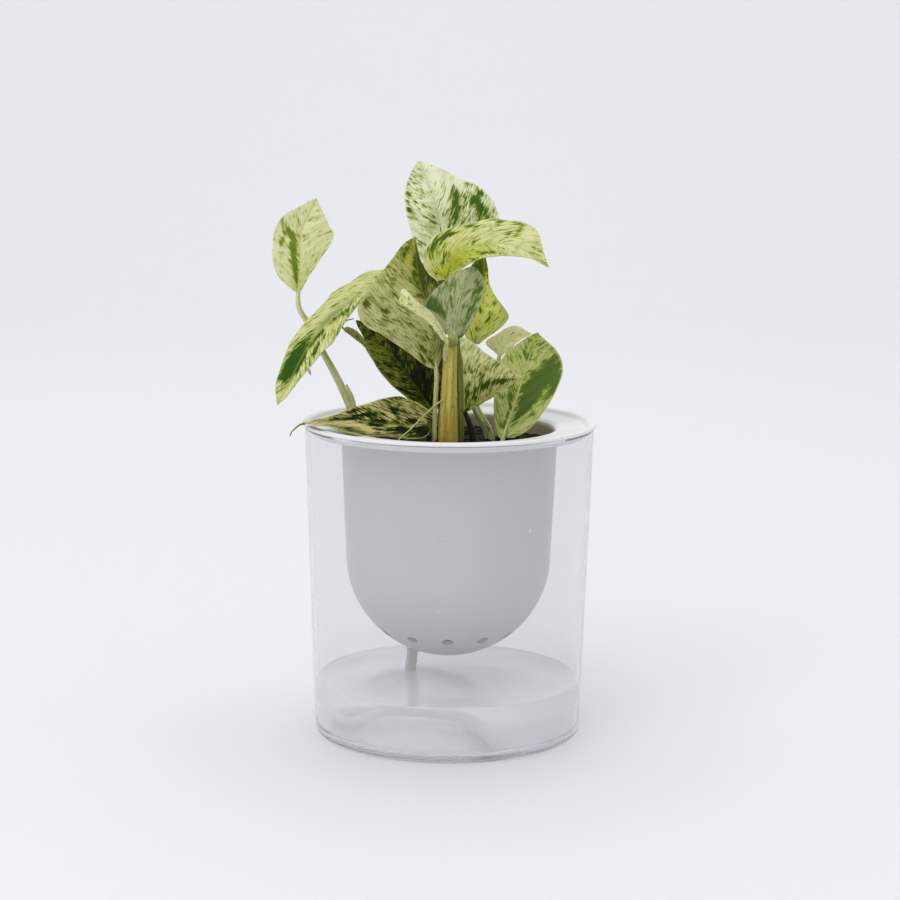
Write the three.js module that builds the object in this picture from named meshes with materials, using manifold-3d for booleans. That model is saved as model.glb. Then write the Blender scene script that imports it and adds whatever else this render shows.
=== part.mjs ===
// A marbled golden pothos in a self-watering planter: a clear cup, a white insert
// that hangs in it by its flange, soil, water, a cotton wick, a stem and the leaves.
// Millimetres, +Z up, the cup's bottom on z = 0 and its axis on x = y = 0.
import * as THREE from "three";
import { mergeVertices } from "three/addons/utils/BufferGeometryUtils.js";
import Module from "manifold-3d";

const wasm = await Module();
wasm.setup();

const gap = 0.3;
const roundSegments = 48;

// Clear cup.
const cupFootRadius = 50.3;
const cupTopRadius = 54.2;
const cupHeight = 117.3;
const cupWall = 1.6;
const cupFloor = 2.5;
const cupCorner = 3;
const cupInnerCorner = 2.6;
const cupInnerRadius = cupFootRadius - cupWall;

// White insert: flange, straight wall and round bottom with its drain holes.
const lipRadius = 55;
const lipTop = 118.9;
const lipInnerRadius = 51.9;
const flangeTop = 117.2;
const flangeUnder = 115.4;
const skirtRadius = 51.7;
const insertTopRadius = 40.9;
const insertLowRadius = 38.6;
const insertWall = 1.8;
const bowlCentre = 68.5;
const mouthRound = 2.6;
const drainCount = 12;
const drainRing = 26;
const drainRadius = 2;
const drainBitLength = 40;
const drainBitDrop = 30;

const soilTop = 111.5;
const soilTopInset = 0.4;
const waterTop = 20.5;
const waterFootInset = 0.6;

// Cotton wick, from the soil out through a drain hole into the water and along the floor.
const wickDrain = 4;
const wickRadius = 2.2;
const wickSteps = 44;
const wickRoute = [
  [-10, 17, 68],
  [-11.5, 20, 54],
  [-13, 22.5, 41],
  [-13.6, 18, 30],
  [-14.5, 11, 20.5],
  [-20, 0, 10],
  [-28, -2, 5.3],
  [-30, 8, 5.3],
  [-22, 21, 5.3],
  [-9, 28, 5.3],
  [3, 18, 5.3],
  [8, 2, 5.3],
  [12, -15, 5.3],
  [17, -38, 5.3],
];

// Stem: way points from foot to top, with the radius at each.
const stemRoute = [
  [-0.5, 0, 96],
  [-0.5, 0, 112],
  [-0.3, 0, 130],
  [0.2, -1, 145.5],
];
const stemRadii = [3.8, 3.8, 3.0, 2.3];

// Thin aerial root that hangs from the stem towards the soil.
const rootRoute = [
  [-1.5, -1.5, 127.5],
  [-4.5, -4, 126],
  [-9, -8.5, 122.5],
  [-14.5, -15.5, 117.8],
  [-18.5, -21.5, 115],
  [-20.5, -25, 112.3],
];
const rootRadii = [0.4, 0.3, 0.3];

const bladeThick = 0.7;
const bladeRows = 14;
const bladeColumns = 3;
const stalkSides = 6;
const midribStations = [0.02, 0.2, 0.4, 0.6];
const midribDrop = 0.25;
const midribEnd = 0.5;

// Leaves. margins: the left and the right edge from base to tip, each point as how far
// along the midrib and how far out, as shares of its length and of the half's width,
// stalk: petiole way points from foot to blade, spine: midrib way points from blade base
// to tip, face: where the upper side looks at base, middle and tip, half: width left and
// right of the midrib, fold and curl: degrees at base and tip of each half, sheath: the
// split skin of a petiole, tail: a dry tip.
const leaves = {
  leaf_small_left: {
    margins: [
      [[0, 0], [0.02, 0.18], [0.09, 0.49], [0.17, 0.78], [0.32, 0.97], [0.51, 0.98], [0.64, 0.95],
       [0.75, 0.78], [0.84, 0.5], [0.94, 0.22], [1, 0]],
      [[0, 0], [0.03, 0.12], [0.14, 0.27], [0.26, 0.48], [0.38, 0.71], [0.52, 0.96], [0.75, 1],
       [0.82, 0.78], [0.89, 0.48], [0.95, 0.2], [1, 0]],
    ],
    stalk: [
      [-33, 8, 100],
      [-34, 8, 112],
      [-40.6, 9, 129.5],
      [-49.5, 12, 145.5],
      [-54.3, 13, 154.5],
      [-57.2, 12, 160],
    ],
    stalkRadius: [1.9, 1],
    sheath: [[-35.5, 7.4, 118], [-36.8, 6.6, 126.5], [-39, 6, 131.5]],
    spine: [[-57.5, 12, 165.5], [-57, 13, 177.5], [-56.5, 17, 188], [-51, 22, 200.5]],
    face: [[0, -1, 0.1], [0, -1, 0.1], [0, -1, 0.1]],
    half: [10.5, 12],
    fold: [[10, 5], [10, 5]],
    curl: [[20, 10], [20, 10]],
    color: 0xd3dc9c,
  },
  leaf_arching_left: {
    margins: [
      [[0, 0], [0.22, 0.41], [0.37, 0.29], [0.49, 0.5], [0.57, 0.76], [0.66, 1], [0.73, 0.84],
       [0.81, 0.65], [0.88, 0.43], [0.95, 0.25], [1, 0]],
      [[0, 0], [-0.01, 0.33], [0.13, 0.66], [0.27, 0.84], [0.38, 1], [0.51, 0.83], [0.66, 0.68],
       [0.77, 0.65], [0.88, 0.51], [0.95, 0.29], [1, 0]],
    ],
    stalk: [[-12, 18, 100], [-12, 18, 115], [-13, 18.5, 135], [-17, 18, 155], [-21, 18, 167]],
    stalkRadius: [1.3, 1],
    spine: [[-23.5, 19, 172.5], [-33.5, 13.5, 165.5], [-50, -4, 151], [-63.5, -14, 126.5]],
    face: [[-0.6, -0.4, 0.7], [-0.6, -0.4, 0.7], [-0.8, -0.5, 0.4]],
    half: [8, 13.5],
    fold: [[-15, -25], [15, 20]],
    curl: [[20, 10], [20, 10]],
    color: 0xa8b878,
  },
  leaf_pale_centre: {
    margins: [
      [[0, 0], [0.03, 0.15], [0.14, 0.4], [0.26, 0.67], [0.44, 0.94], [0.57, 1], [0.64, 0.85],
       [0.72, 0.62], [0.82, 0.4], [0.95, 0.18], [1, 0]],
      [[0, 0], [0.06, 0.24], [0.16, 0.5], [0.29, 0.73], [0.45, 0.97], [0.63, 1.01], [0.73, 0.53],
       [0.81, 0.22], [0.89, 0.09], [0.96, 0.04], [1, 0]],
    ],
    stalk: [[-5.6, 0, 100], [-5.6, 0, 113], [-5.4, 0, 125], [-5, 0, 135]],
    stalkRadius: [0.9, 0.9],
    spine: [[-5, 0, 138.5], [-7, -2, 156.5], [-11.5, -1, 172], [-13.5, 3, 187.5]],
    face: [[0.3, -1, 0.15], [0.35, -1, 0.15], [0.3, -1, 0.1]],
    half: [25.5, 13.5],
    fold: [[-5, -5], [-40, -40]],
    curl: [[15, 10], [10, 10]],
    color: 0xb4be86,
  },
  leaf_top: {
    margins: [
      [[0, 0], [-0.16, 0.4], [-0.26, 0.68], [-0.14, 0.85], [0.07, 0.97], [0.39, 1.02],
       [0.65, 0.93], [0.78, 0.73], [0.87, 0.53], [0.94, 0.29], [1, 0]],
      [[0, 0], [-0.22, 0.12], [-0.34, 0.4], [-0.24, 0.69], [-0.07, 0.91], [0.17, 1], [0.36, 0.94],
       [0.51, 0.8], [0.67, 0.52], [0.85, 0.26], [1, 0]],
    ],
    stalk: [[0, 10, 100], [0, 10, 113], [-1, 12, 140], [-2.5, 14.5, 168]],
    stalkRadius: [1.3, 1],
    spine: [[-3.5, 15, 186.5], [-5, 18, 195], [-8, 24, 204], [-12.5, 30, 214.5]],
    face: [[0.1, -1, 0.1], [0, -1, 0.2], [0, -1, 0.3]],
    half: [11.5, 22.5],
    fold: [[10, 10], [10, 10]],
    curl: [[20, 10], [20, 10]],
    color: 0xc9d2a2,
  },
  leaf_drooping_right: {
    margins: [
      [[0, 0], [-0.03, 0.21], [0, 0.5], [0.12, 0.68], [0.21, 0.75], [0.29, 0.78], [0.41, 0.81],
       [0.53, 1], [0.68, 0.93], [0.77, 0.81], [0.87, 0.41], [1, 0]],
      [[0, 0], [0.05, 0.19], [0.13, 0.55], [0.34, 0.88], [0.46, 0.99], [0.57, 1.01], [0.67, 1],
       [0.77, 0.85], [0.84, 0.52], [0.9, 0.23], [0.95, 0.05], [1, 0]],
    ],
    stalk: [[4.5, 4, 100], [4.7, 4, 113], [4, 3, 140], [0, -2, 163]],
    stalkRadius: [1.5, 1],
    spine: [
      [-1.5, -6, 172.5],
      [2, -7.5, 181.5],
      [11.5, -10, 186],
      [24, -14.5, 185.5],
      [35.5, -19, 178.5],
    ],
    face: [[0, -1, 0.3], [0, -0.55, 0.8], [0.3, -0.5, 0.8]],
    half: [16, 7.5],
    fold: [[0, 10], [0, 10]],
    curl: [[20, 10], [30, 20]],
    color: 0xc6cf74,
  },
  leaf_cupped_centre: {
    margins: [
      [[0, 0], [0.01, 0.36], [0.1, 0.61], [0.23, 0.8], [0.39, 0.96], [0.58, 1.03], [0.75, 0.97],
       [0.87, 0.85], [0.94, 0.6], [0.99, 0.25], [1, 0]],
      [[0, 0], [0.06, 0.23], [0.22, 0.53], [0.34, 0.78], [0.39, 1], [0.49, 0.93], [0.6, 0.78],
       [0.73, 0.58], [0.85, 0.38], [0.94, 0.19], [1, 0]],
    ],
    stalk: [[0.2, -1, 146.4], [0.3, -1.4, 147.8]],
    stalkRadius: [2, 1.4],
    spine: [[1, -5, 150.5], [3, -9, 164], [8, -7, 177.5]],
    face: [[0, 1, 0.2], [0, 1, 0.2], [0, 1, 0]],
    half: [7.5, 12],
    fold: [[10, 10], [10, 10]],
    curl: [[20, 10], [20, 10]],
    color: 0x9fab84,
  },
  leaf_young_bright: {
    margins: [
      [[0, 0], [0.11, 0.52], [0.32, 0.76], [0.53, 0.76], [0.7, 0.96], [0.85, 0.88], [0.95, 1],
       [0.99, 0.56], [1, 0]],
      [[0, 0], [0.1, 0.23], [0.35, 0.3], [0.55, 0.53], [0.72, 0.5], [0.88, 0.67], [1.01, 0.93],
       [1.03, 0.43], [1, 0]],
    ],
    stalk: [[-1.9, -3.75, 142.5], [-1.8, -6, 146]],
    stalkRadius: [0.8, 0.8],
    spine: [[-1, -8.5, 149], [-5, -11.5, 156.5], [-11, -15.5, 162.5], [-18, -19, 167.5]],
    face: [[-0.3, -0.8, 0.4], [-0.3, -0.8, 0.4], [-0.3, -0.8, 0.4]],
    half: [2.5, 3],
    fold: [[5, 0], [5, 0]],
    curl: [[10, 10], [10, 10]],
    color: 0xe4eab4,
  },
  leaf_behind_right: {
    margins: [
      [[0, 0], [0.01, 0.25], [0.04, 0.46], [0.13, 0.68], [0.26, 0.87], [0.4, 0.97], [0.53, 1],
       [0.67, 0.94], [0.8, 0.7], [0.92, 0.32], [1, 0]],
      [[0, 0], [0.01, 0.18], [0.12, 0.43], [0.22, 0.67], [0.32, 0.9], [0.39, 0.98], [0.48, 0.69],
       [0.57, 0.42], [0.69, 0.21], [0.81, 0.13], [0.91, 0.06], [1, 0]],
    ],
    stalk: [[15.5, 6, 100], [15, 6, 113], [9.5, 8, 124], [8, 10, 142]],
    stalkRadius: [1.4, 1],
    spine: [[9, 12, 147], [12, 16, 158], [12.5, 20, 168.5], [13, 24, 181]],
    face: [[0.2, -1, 0.1], [0.2, -1, 0.1], [0.2, -1, 0.1]],
    half: [9, 13],
    fold: [[10, 10], [-20, -20]],
    curl: [[20, 10], [10, 10]],
    color: 0xa6b04e,
  },
  leaf_small_behind: {
    margins: [
      [[0, 0], [0.1, 0.23], [0.2, 0.67], [0.27, 1.03], [0.39, 0.97], [0.52, 0.79], [0.67, 0.71],
       [0.77, 0.67], [0.86, 0.53], [0.94, 0.21], [1, 0]],
      [[0, 0], [0.04, 0.27], [0.18, 0.7], [0.32, 0.87], [0.46, 1.03], [0.61, 0.93], [0.73, 0.8],
       [0.81, 0.57], [0.88, 0.37], [0.94, 0.23], [1, 0]],
    ],
    stalk: [[17, 14, 100], [17.5, 14, 113], [18, 16, 130]],
    stalkRadius: [1, 0.8],
    spine: [[18.5, 18, 141], [20.5, 21, 144.5], [24, 24, 147.5], [31, 28, 149]],
    face: [[-0.4, -1, 0.6], [-0.4, -1, 0.6], [-0.4, -1, 0.6]],
    half: [7, 3],
    fold: [[10, 10], [10, 10]],
    curl: [[10, 10], [10, 10]],
    color: 0xd9dcae,
  },
  leaf_low_right: {
    margins: [
      [[0, 0], [0.04, 0.33], [0.16, 0.61], [0.34, 0.82], [0.52, 0.96], [0.71, 1], [0.83, 0.88],
       [0.91, 0.63], [0.95, 0.36], [0.98, 0.13], [1, 0]],
      [[0, 0], [-0.01, 0.15], [0.1, 0.46], [0.22, 0.7], [0.36, 0.88], [0.49, 0.98], [0.62, 0.99],
       [0.75, 0.84], [0.85, 0.54], [0.95, 0.23], [1, 0]],
    ],
    stalk: [[18, -5, 98], [19, -4.5, 107]],
    stalkRadius: [1, 1],
    spine: [[20, -4, 113.5], [24.5, 1, 126], [28.5, 7, 138.5], [33, 13, 151]],
    face: [[0, 1, 0.1], [0, 1, 0.1], [0, 1, 0.1]],
    half: [14, 10],
    fold: [[0, 0], [0, 0]],
    curl: [[10, 10], [10, 10]],
    color: 0x7f9a52,
  },
  leaf_speckled_right: {
    margins: [
      [[0, 0], [0.09, 0.11], [0.24, 0.29], [0.37, 0.49], [0.49, 0.69], [0.56, 0.9], [0.61, 1.01],
       [0.7, 0.86], [0.77, 0.59], [0.89, 0.28], [1, 0]],
      [[0, 0], [0.05, 0.47], [0.16, 0.67], [0.32, 0.93], [0.47, 1], [0.62, 0.93], [0.75, 0.73],
       [0.84, 0.4], [0.93, 0.2], [1, 0]],
    ],
    stalk: [[9.5, 1, 100], [9.2, 0, 110], [7.5, -2.5, 118.5]],
    stalkRadius: [1.4, 1.2],
    spine: [[5.5, -5, 123], [11.5, -8, 128], [18, -12, 132.5], [26.5, -16, 137.5]],
    face: [[0, -1, -0.12], [0, -1, -0.12], [0, -1, 0]],
    half: [23.5, 1.5],
    fold: [[0, 0], [10, 10]],
    curl: [[10, 10], [10, 10]],
    color: 0xaab070,
  },
  leaf_over_rim_left: {
    margins: [
      [[0, 0], [0.07, 0.41], [0.2, 0.68], [0.29, 0.7], [0.41, 0.73], [0.54, 0.87], [0.66, 1.01],
       [0.74, 0.94], [0.82, 0.82], [0.91, 0.77], [1, 0]],
      [[0, 0], [-0.08, 0.34], [-0.02, 0.58], [0.08, 0.82], [0.21, 0.99], [0.4, 0.88],
       [0.55, 0.61], [0.68, 0.35], [0.8, 0.18], [0.91, 0.08], [1, 0]],
    ],
    stalk: [[-10, 3, 100], [-10, 2.5, 110]],
    stalkRadius: [1.2, 1],
    tail: [
      [-53, -15.6, 119.8],
      [-55.2, -16, 119.3],
      [-56.8, -16, 118],
      [-58.2, -16, 116.5],
      [-58.8, -16, 115],
    ],
    spine: [[-8.5, 0, 117.5], [-20, -8, 118.5], [-36.5, -14.5, 121], [-54, -16, 120]],
    face: [[0, -0.85, 0.53], [0, -0.75, 0.66], [0, -0.4, 0.9]],
    half: [15, 12],
    fold: [[35, 35], [10, 10]],
    curl: [[10, 10], [10, 10]],
    color: 0x8c935a,
  },
  leaf_shaded_left: {
    margins: [
      [[0, 0], [-0.06, 0.05], [0.02, 0.31], [0.12, 0.56], [0.24, 0.79], [0.39, 0.96],
       [0.57, 0.97], [0.75, 0.65], [0.86, 0.36], [0.95, 0.17], [1, 0]],
      [[0, 0], [-0.07, 0.25], [-0.1, 0.52], [-0.03, 0.8], [0.13, 0.96], [0.3, 1], [0.5, 0.88],
       [0.7, 0.62], [0.85, 0.33], [0.95, 0.12], [1, 0]],
    ],
    stalk: [[-5.5, 6.5, 100], [-5.5, 6.5, 113]],
    stalkRadius: [1.2, 1],
    spine: [[-7.5, 8, 123], [-16, 7, 135], [-25, 6, 146.5], [-35.5, 5, 156]],
    face: [[0, -1, 0], [0, -1, 0], [0, -1, 0]],
    half: [7.5, 12],
    fold: [[0, 10], [0, 10]],
    curl: [[10, 10], [10, 10]],
    color: 0x4c6420,
  },
  leaf_behind_left: {
    margins: [
      [[0, 0], [0.03, 0.25], [0.14, 0.58], [0.27, 0.83], [0.4, 0.95], [0.51, 0.88], [0.65, 0.6],
       [0.76, 0.2], [0.86, 0.12], [0.95, 0.05], [1, 0]],
      [[0, 0], [0.02, 0.69], [0.13, 0.96], [0.25, 1.02], [0.39, 0.93], [0.53, 0.64], [0.69, 0.31],
       [0.81, 0.36], [0.91, 0.56], [0.99, 0.38], [1, 0]],
    ],
    stalk: [[-7, 21, 100], [-7, 21, 113]],
    stalkRadius: [1.2, 1],
    tail: [
      [-39.5, 27, 149.5],
      [-41.5, 27, 151],
      [-41, 27, 152.5],
      [-40, 26, 153.5],
      [-37, 25, 154.5],
    ],
    spine: [[-8.5, 21, 119.5], [-18.5, 23, 131], [-29.5, 25, 142], [-41, 27, 150]],
    face: [[0, -1, 0], [0, -1, 0], [0, -1, 0]],
    half: [4, 4.5],
    fold: [[0, 10], [0, 10]],
    curl: [[10, 10], [10, 10]],
    color: 0xa5b06e,
  },
};

const group = new THREE.Group();

// Solid of a closed geometry, and back.
function solidOf(geometry) {
  const plain = geometry.clone();
  plain.deleteAttribute("normal");
  plain.deleteAttribute("uv");
  const merged = mergeVertices(plain, 1e-4);
  return new wasm.Manifold(
    new wasm.Mesh({
      numProp: 3,
      vertProperties: merged.getAttribute("position").array,
      triVerts: new Uint32Array(merged.index.array),
    }),
  );
}

function geometryOf(solid) {
  const mesh = solid.getMesh();
  const geometry = new THREE.BufferGeometry();
  geometry.setAttribute("position", new THREE.BufferAttribute(mesh.vertProperties, 3));
  geometry.setIndex(new THREE.BufferAttribute(mesh.triVerts, 1));
  geometry.computeVertexNormals();
  return geometry;
}

function addPart(name, geometry, material) {
  const mesh = new THREE.Mesh(geometry, material);
  mesh.name = name;
  group.add(mesh);
}

function finish(color, roughness, metalness = 0) {
  return new THREE.MeshStandardMaterial({ color, roughness, metalness });
}

// A body of revolution about +Z from [radius, height] pairs.
function turned(profile, segments) {
  const points = profile.map(([radius, height]) => new THREE.Vector2(radius, height));
  return new THREE.LatheGeometry(points, segments).rotateX(Math.PI / 2);
}

// Part of a circle as profile points, from one angle to another in degrees.
function arc(centreRadius, centreHeight, radius, from, to, steps) {
  const points = [];
  for (let step = 0; step <= steps; step += 1) {
    const angle = THREE.MathUtils.degToRad(from + ((to - from) * step) / steps);
    points.push([
      centreRadius + radius * Math.cos(angle),
      centreHeight + radius * Math.sin(angle),
    ]);
  }
  return points;
}

function curveThrough(route) {
  return new THREE.CatmullRomCurve3(route.map((point) => new THREE.Vector3(...point)));
}

// Round cord of one radius along a route.
function cord(route, radius, sides, steps) {
  const ring = new THREE.Shape();
  for (let side = 0; side < sides; side += 1) {
    const angle = (side / sides) * Math.PI * 2;
    const x = radius * Math.cos(angle);
    const y = radius * Math.sin(angle);
    if (side === 0) {
      ring.moveTo(x, y);
    } else {
      ring.lineTo(x, y);
    }
  }
  ring.closePath();
  return new THREE.ExtrudeGeometry(ring, { steps, extrudePath: curveThrough(route) });
}

// Tapering rod along a route; the radius runs evenly through the given radii.
function rod(route, radii, sides, steps) {
  const curve = curveThrough(route);
  const frames = curve.computeFrenetFrames(steps, false);
  const positions = [];
  const indices = [];
  for (let step = 0; step <= steps; step += 1) {
    const share = step / steps;
    const centre = curve.getPointAt(share);
    const place = share * (radii.length - 1);
    const low = Math.min(Math.floor(place), radii.length - 2);
    const radius = THREE.MathUtils.lerp(radii[low], radii[low + 1], place - low);
    for (let side = 0; side < sides; side += 1) {
      const angle = (side / sides) * Math.PI * 2;
      const point = centre
        .clone()
        .addScaledVector(frames.normals[step], radius * Math.cos(angle))
        .addScaledVector(frames.binormals[step], radius * Math.sin(angle));
      positions.push(point.x, point.y, point.z);
    }
  }
  const foot = curve.getPointAt(0);
  const top = curve.getPointAt(1);
  positions.push(foot.x, foot.y, foot.z, top.x, top.y, top.z);
  const footIndex = (steps + 1) * sides;
  for (let side = 0; side < sides; side += 1) {
    const next = (side + 1) % sides;
    for (let step = 0; step < steps; step += 1) {
      const here = step * sides;
      const there = here + sides;
      indices.push(here + side, here + next, there + next);
      indices.push(here + side, there + next, there + side);
    }
    indices.push(footIndex, next, side);
    indices.push(footIndex + 1, steps * sides + side, steps * sides + next);
  }
  const geometry = new THREE.BufferGeometry();
  geometry.setAttribute("position", new THREE.Float32BufferAttribute(positions, 3));
  geometry.setIndex(indices);
  return geometry;
}

// Solid rod whose foot is let down by the spare amount, so that a hole is deeper too.
function rodSolid(route, radii, sides, steps, spare) {
  const [footX, footY, footZ] = route[0];
  const lowered = [[footX, footY, footZ - spare], ...route.slice(1)];
  return solidOf(rod(lowered, radii, sides, steps));
}

// Smooth value at share 0 to 1 through evenly spaced points of any size.
function through(points, share) {
  const last = points.length - 1;
  const place = Math.min(Math.max(share, 0), 1) * last;
  const start = Math.min(Math.floor(place), last - 1);
  const t = place - start;
  return points[0].map((_, axis) => {
    const b = points[start][axis];
    const c = points[start + 1][axis];
    const a = start > 0 ? points[start - 1][axis] : 2 * b - c;
    const d = start + 2 <= last ? points[start + 2][axis] : 2 * c - b;
    return (
      b +
      0.5 * t * (c - a + t * (2 * a - 5 * b + 4 * c - d + t * (3 * (b - c) + d - a)))
    );
  });
}

// Midrib frame of a leaf: place, direction, face and the way to its right.
function frameAt(leaf, station) {
  const held = Math.min(Math.max(station, 0), 1);
  const step = 0.01;
  const low = Math.max(held - step, 0);
  const high = Math.min(held + step, 1);
  const before = new THREE.Vector3(...through(leaf.spine, low));
  const after = new THREE.Vector3(...through(leaf.spine, high));
  const along = after.sub(before).normalize();
  const place = new THREE.Vector3(...through(leaf.spine, held));
  const length = spineLength(leaf);
  place.addScaledVector(along, (station - held) * length);
  const face = new THREE.Vector3(...through(leaf.face, held));
  face.addScaledVector(along, -face.dot(along)).normalize();
  const right = new THREE.Vector3().crossVectors(along, face);
  return { place, along, face, right };
}

function spineLength(leaf) {
  let length = 0;
  let last = new THREE.Vector3(...leaf.spine[0]);
  for (let step = 1; step <= 20; step += 1) {
    const next = new THREE.Vector3(...through(leaf.spine, step / 20));
    length += next.distanceTo(last);
    last = next;
  }
  return length;
}

// Point of a blade and its upper-side direction; row 0 to 1 from base to tip,
// across -1 at the left margin to 1 at the right margin.
function bladePoint(leaf, row, across) {
  const side = across < 0 ? 0 : 1;
  const sign = side === 0 ? -1 : 1;
  const share = Math.abs(across);
  const middle = row ** 1.25;
  const [edgeStation, edgeOut] = through(leaf.margins[side], row);
  const station = middle + (edgeStation - middle) * share ** 1.5;
  const frame = frameAt(leaf, station);
  const half = leaf.half[side];
  const out = half * Math.max(edgeOut, 0) * share;
  const mix = Math.min(Math.max(station, 0), 1);
  const foldNow = THREE.MathUtils.lerp(leaf.fold[side][0], leaf.fold[side][1], mix);
  const curlNow = THREE.MathUtils.lerp(leaf.curl[side][0], leaf.curl[side][1], mix);
  const start = THREE.MathUtils.degToRad(foldNow);
  const turn = THREE.MathUtils.degToRad(curlNow);
  const end = start - (turn * out) / half;
  const sideways = ((Math.sin(start) - Math.sin(end)) * half) / turn;
  const raised = ((Math.cos(end) - Math.cos(start)) * half) / turn;
  const point = frame.place
    .addScaledVector(frame.right, sign * sideways)
    .addScaledVector(frame.face, raised);
  const upward = frame.face
    .clone()
    .multiplyScalar(Math.cos(end))
    .addScaledVector(frame.right, -sign * Math.sin(end) * (share > 0 ? 1 : 0))
    .normalize();
  return { point, upward };
}

// Closed thin blade: the same net on both faces, joined along the margin.
function bladeGeometry(leaf) {
  const width = bladeColumns * 2 + 1;
  const faceVertices = (bladeRows - 1) * width + 2;
  const upper = [];
  const lower = [];
  for (let row = 0; row <= bladeRows; row += 1) {
    const single = row === 0 || row === bladeRows;
    for (let column = 0; column < (single ? 1 : width); column += 1) {
      const across = single ? 0 : (column - bladeColumns) / bladeColumns;
      const { point, upward } = bladePoint(leaf, row / bladeRows, across);
      const above = point.clone().addScaledVector(upward, bladeThick / 2);
      const below = point.clone().addScaledVector(upward, -bladeThick / 2);
      upper.push(above.x, above.y, above.z);
      lower.push(below.x, below.y, below.z);
    }
  }
  const at = (row, column) => {
    if (row === 0) {
      return 0;
    }
    if (row === bladeRows) {
      return faceVertices - 1;
    }
    return 1 + (row - 1) * width + column;
  };
  const indices = [];
  const addBoth = (a, b, c) => {
    if (a === b || b === c || a === c) {
      return;
    }
    indices.push(a, b, c);
    indices.push(a + faceVertices, c + faceVertices, b + faceVertices);
  };
  const addEdge = (a, b) => {
    indices.push(a, a + faceVertices, b + faceVertices);
    indices.push(a, b + faceVertices, b);
  };
  for (let row = 0; row < bladeRows; row += 1) {
    for (let column = 0; column < width - 1; column += 1) {
      addBoth(at(row, column), at(row, column + 1), at(row + 1, column + 1));
      addBoth(at(row, column), at(row + 1, column + 1), at(row + 1, column));
    }
    addEdge(at(row, width - 1), at(row + 1, width - 1));
    addEdge(at(row + 1, 0), at(row, 0));
  }
  const geometry = new THREE.BufferGeometry();
  geometry.setAttribute("position", new THREE.Float32BufferAttribute([...upper, ...lower], 3));
  geometry.setIndex(indices);
  return geometry;
}

// Petiole that runs on under the blade as its midrib, made wider by the spare amount.
function stalkSolid(leaf, spare) {
  const route = [...leaf.stalk];
  for (const station of midribStations) {
    const frame = frameAt(leaf, station);
    const below = frame.place.addScaledVector(frame.face, -midribDrop);
    route.push(below.toArray());
  }
  const [thick, thin] = leaf.stalkRadius;
  const radii = [thick, (thick + thin) / 2, thin, midribEnd].map((radius) => radius + spare);
  return rodSolid(route, radii, stalkSides, route.length + 2, spare);
}

function leafSolid(leaf) {
  let solid = solidOf(bladeGeometry(leaf)).add(stalkSolid(leaf, 0));
  if (leaf.sheath) {
    solid = solid.add(rodSolid(leaf.sheath, [1, 0.8, 0.4], stalkSides, 4, 0));
  }
  if (leaf.tail) {
    solid = solid.add(rodSolid(leaf.tail, [0.5, 0.4, 0.3], stalkSides, 5, 0));
  }
  return solid;
}

// The main stem, made wider by the spare amount.
function stemSolid(spare) {
  const radii = stemRadii.map((radius) => radius + spare);
  return rodSolid(stemRoute, radii, 12, 10, spare);
}

function wickSolid(spare) {
  return solidOf(cord(wickRoute, wickRadius + spare, spare > 0 ? 10 : 8, wickSteps));
}

function cupProfile() {
  const corner = arc(cupFootRadius - cupCorner, cupCorner, cupCorner, -90, 0, 4);
  const innerCorner = arc(
    cupInnerRadius - cupInnerCorner,
    cupFloor + cupInnerCorner,
    cupInnerCorner,
    0,
    -90,
    4,
  );
  return [
    [0, 0],
    ...corner,
    [cupTopRadius, cupHeight],
    [cupTopRadius - cupWall, cupHeight],
    ...innerCorner,
    [0, cupFloor],
  ];
}

function insertProfile() {
  const innerTop = insertTopRadius - insertWall;
  const innerLow = insertLowRadius - insertWall;
  return [
    ...arc(0, bowlCentre, insertLowRadius, -90, 0, 7),
    [insertTopRadius, flangeUnder],
    [skirtRadius, flangeUnder],
    [skirtRadius, cupHeight + gap],
    [lipRadius, cupHeight + gap],
    [lipRadius, lipTop],
    [lipInnerRadius, lipTop],
    [lipInnerRadius - 0.4, flangeTop],
    ...arc(innerTop + mouthRound, flangeTop - mouthRound, mouthRound, 90, 180, 4),
    ...arc(0, bowlCentre, innerLow, 0, -90, 7),
  ];
}

function soilProfile() {
  const inner = insertLowRadius - insertWall - gap;
  const top = insertTopRadius - insertWall - gap - soilTopInset;
  return [
    ...arc(0, bowlCentre, inner, -90, 0, 7),
    [top, soilTop],
    [0, soilTop],
  ];
}

function waterProfile() {
  const low = cupInnerRadius - cupInnerCorner - gap;
  const top = cupInnerRadius + ((cupTopRadius - cupFootRadius) * waterTop) / cupHeight - gap;
  return [
    [0, cupFloor + gap],
    [low, cupFloor + gap],
    [top - waterFootInset, cupFloor + cupInnerCorner + gap],
    [top, waterTop],
    [0, waterTop],
  ];
}

function addCup() {
  addPart("outer_cup", turned(cupProfile(), roundSegments), finish(0xe6e8ee, 0.08));
}

function drainBit(drain) {
  const angle = (drain / drainCount) * Math.PI * 2;
  const x = drainRing * Math.cos(angle);
  const y = drainRing * Math.sin(angle);
  const bit = new THREE.CylinderGeometry(drainRadius, drainRadius, drainBitLength, 8);
  bit.rotateX(Math.PI / 2).translate(x, y, bowlCentre - drainBitDrop);
  return solidOf(bit);
}

function addInsert() {
  let insert = solidOf(turned(insertProfile(), roundSegments));
  for (let drain = 0; drain < drainCount; drain += 1) {
    insert = insert.subtract(drain === wickDrain ? wickSolid(gap) : drainBit(drain));
  }
  addPart("insert_pot", geometryOf(insert), finish(0xeeeef0, 0.35));
}

function addSoil() {
  let soil = solidOf(turned(soilProfile(), roundSegments));
  soil = soil.subtract(wickSolid(gap));
  soil = soil.subtract(stemSolid(gap));
  for (const leaf of Object.values(leaves)) {
    soil = soil.subtract(stalkSolid(leaf, gap));
  }
  addPart("soil", geometryOf(soil), finish(0x2b2118, 0.95));
}

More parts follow.
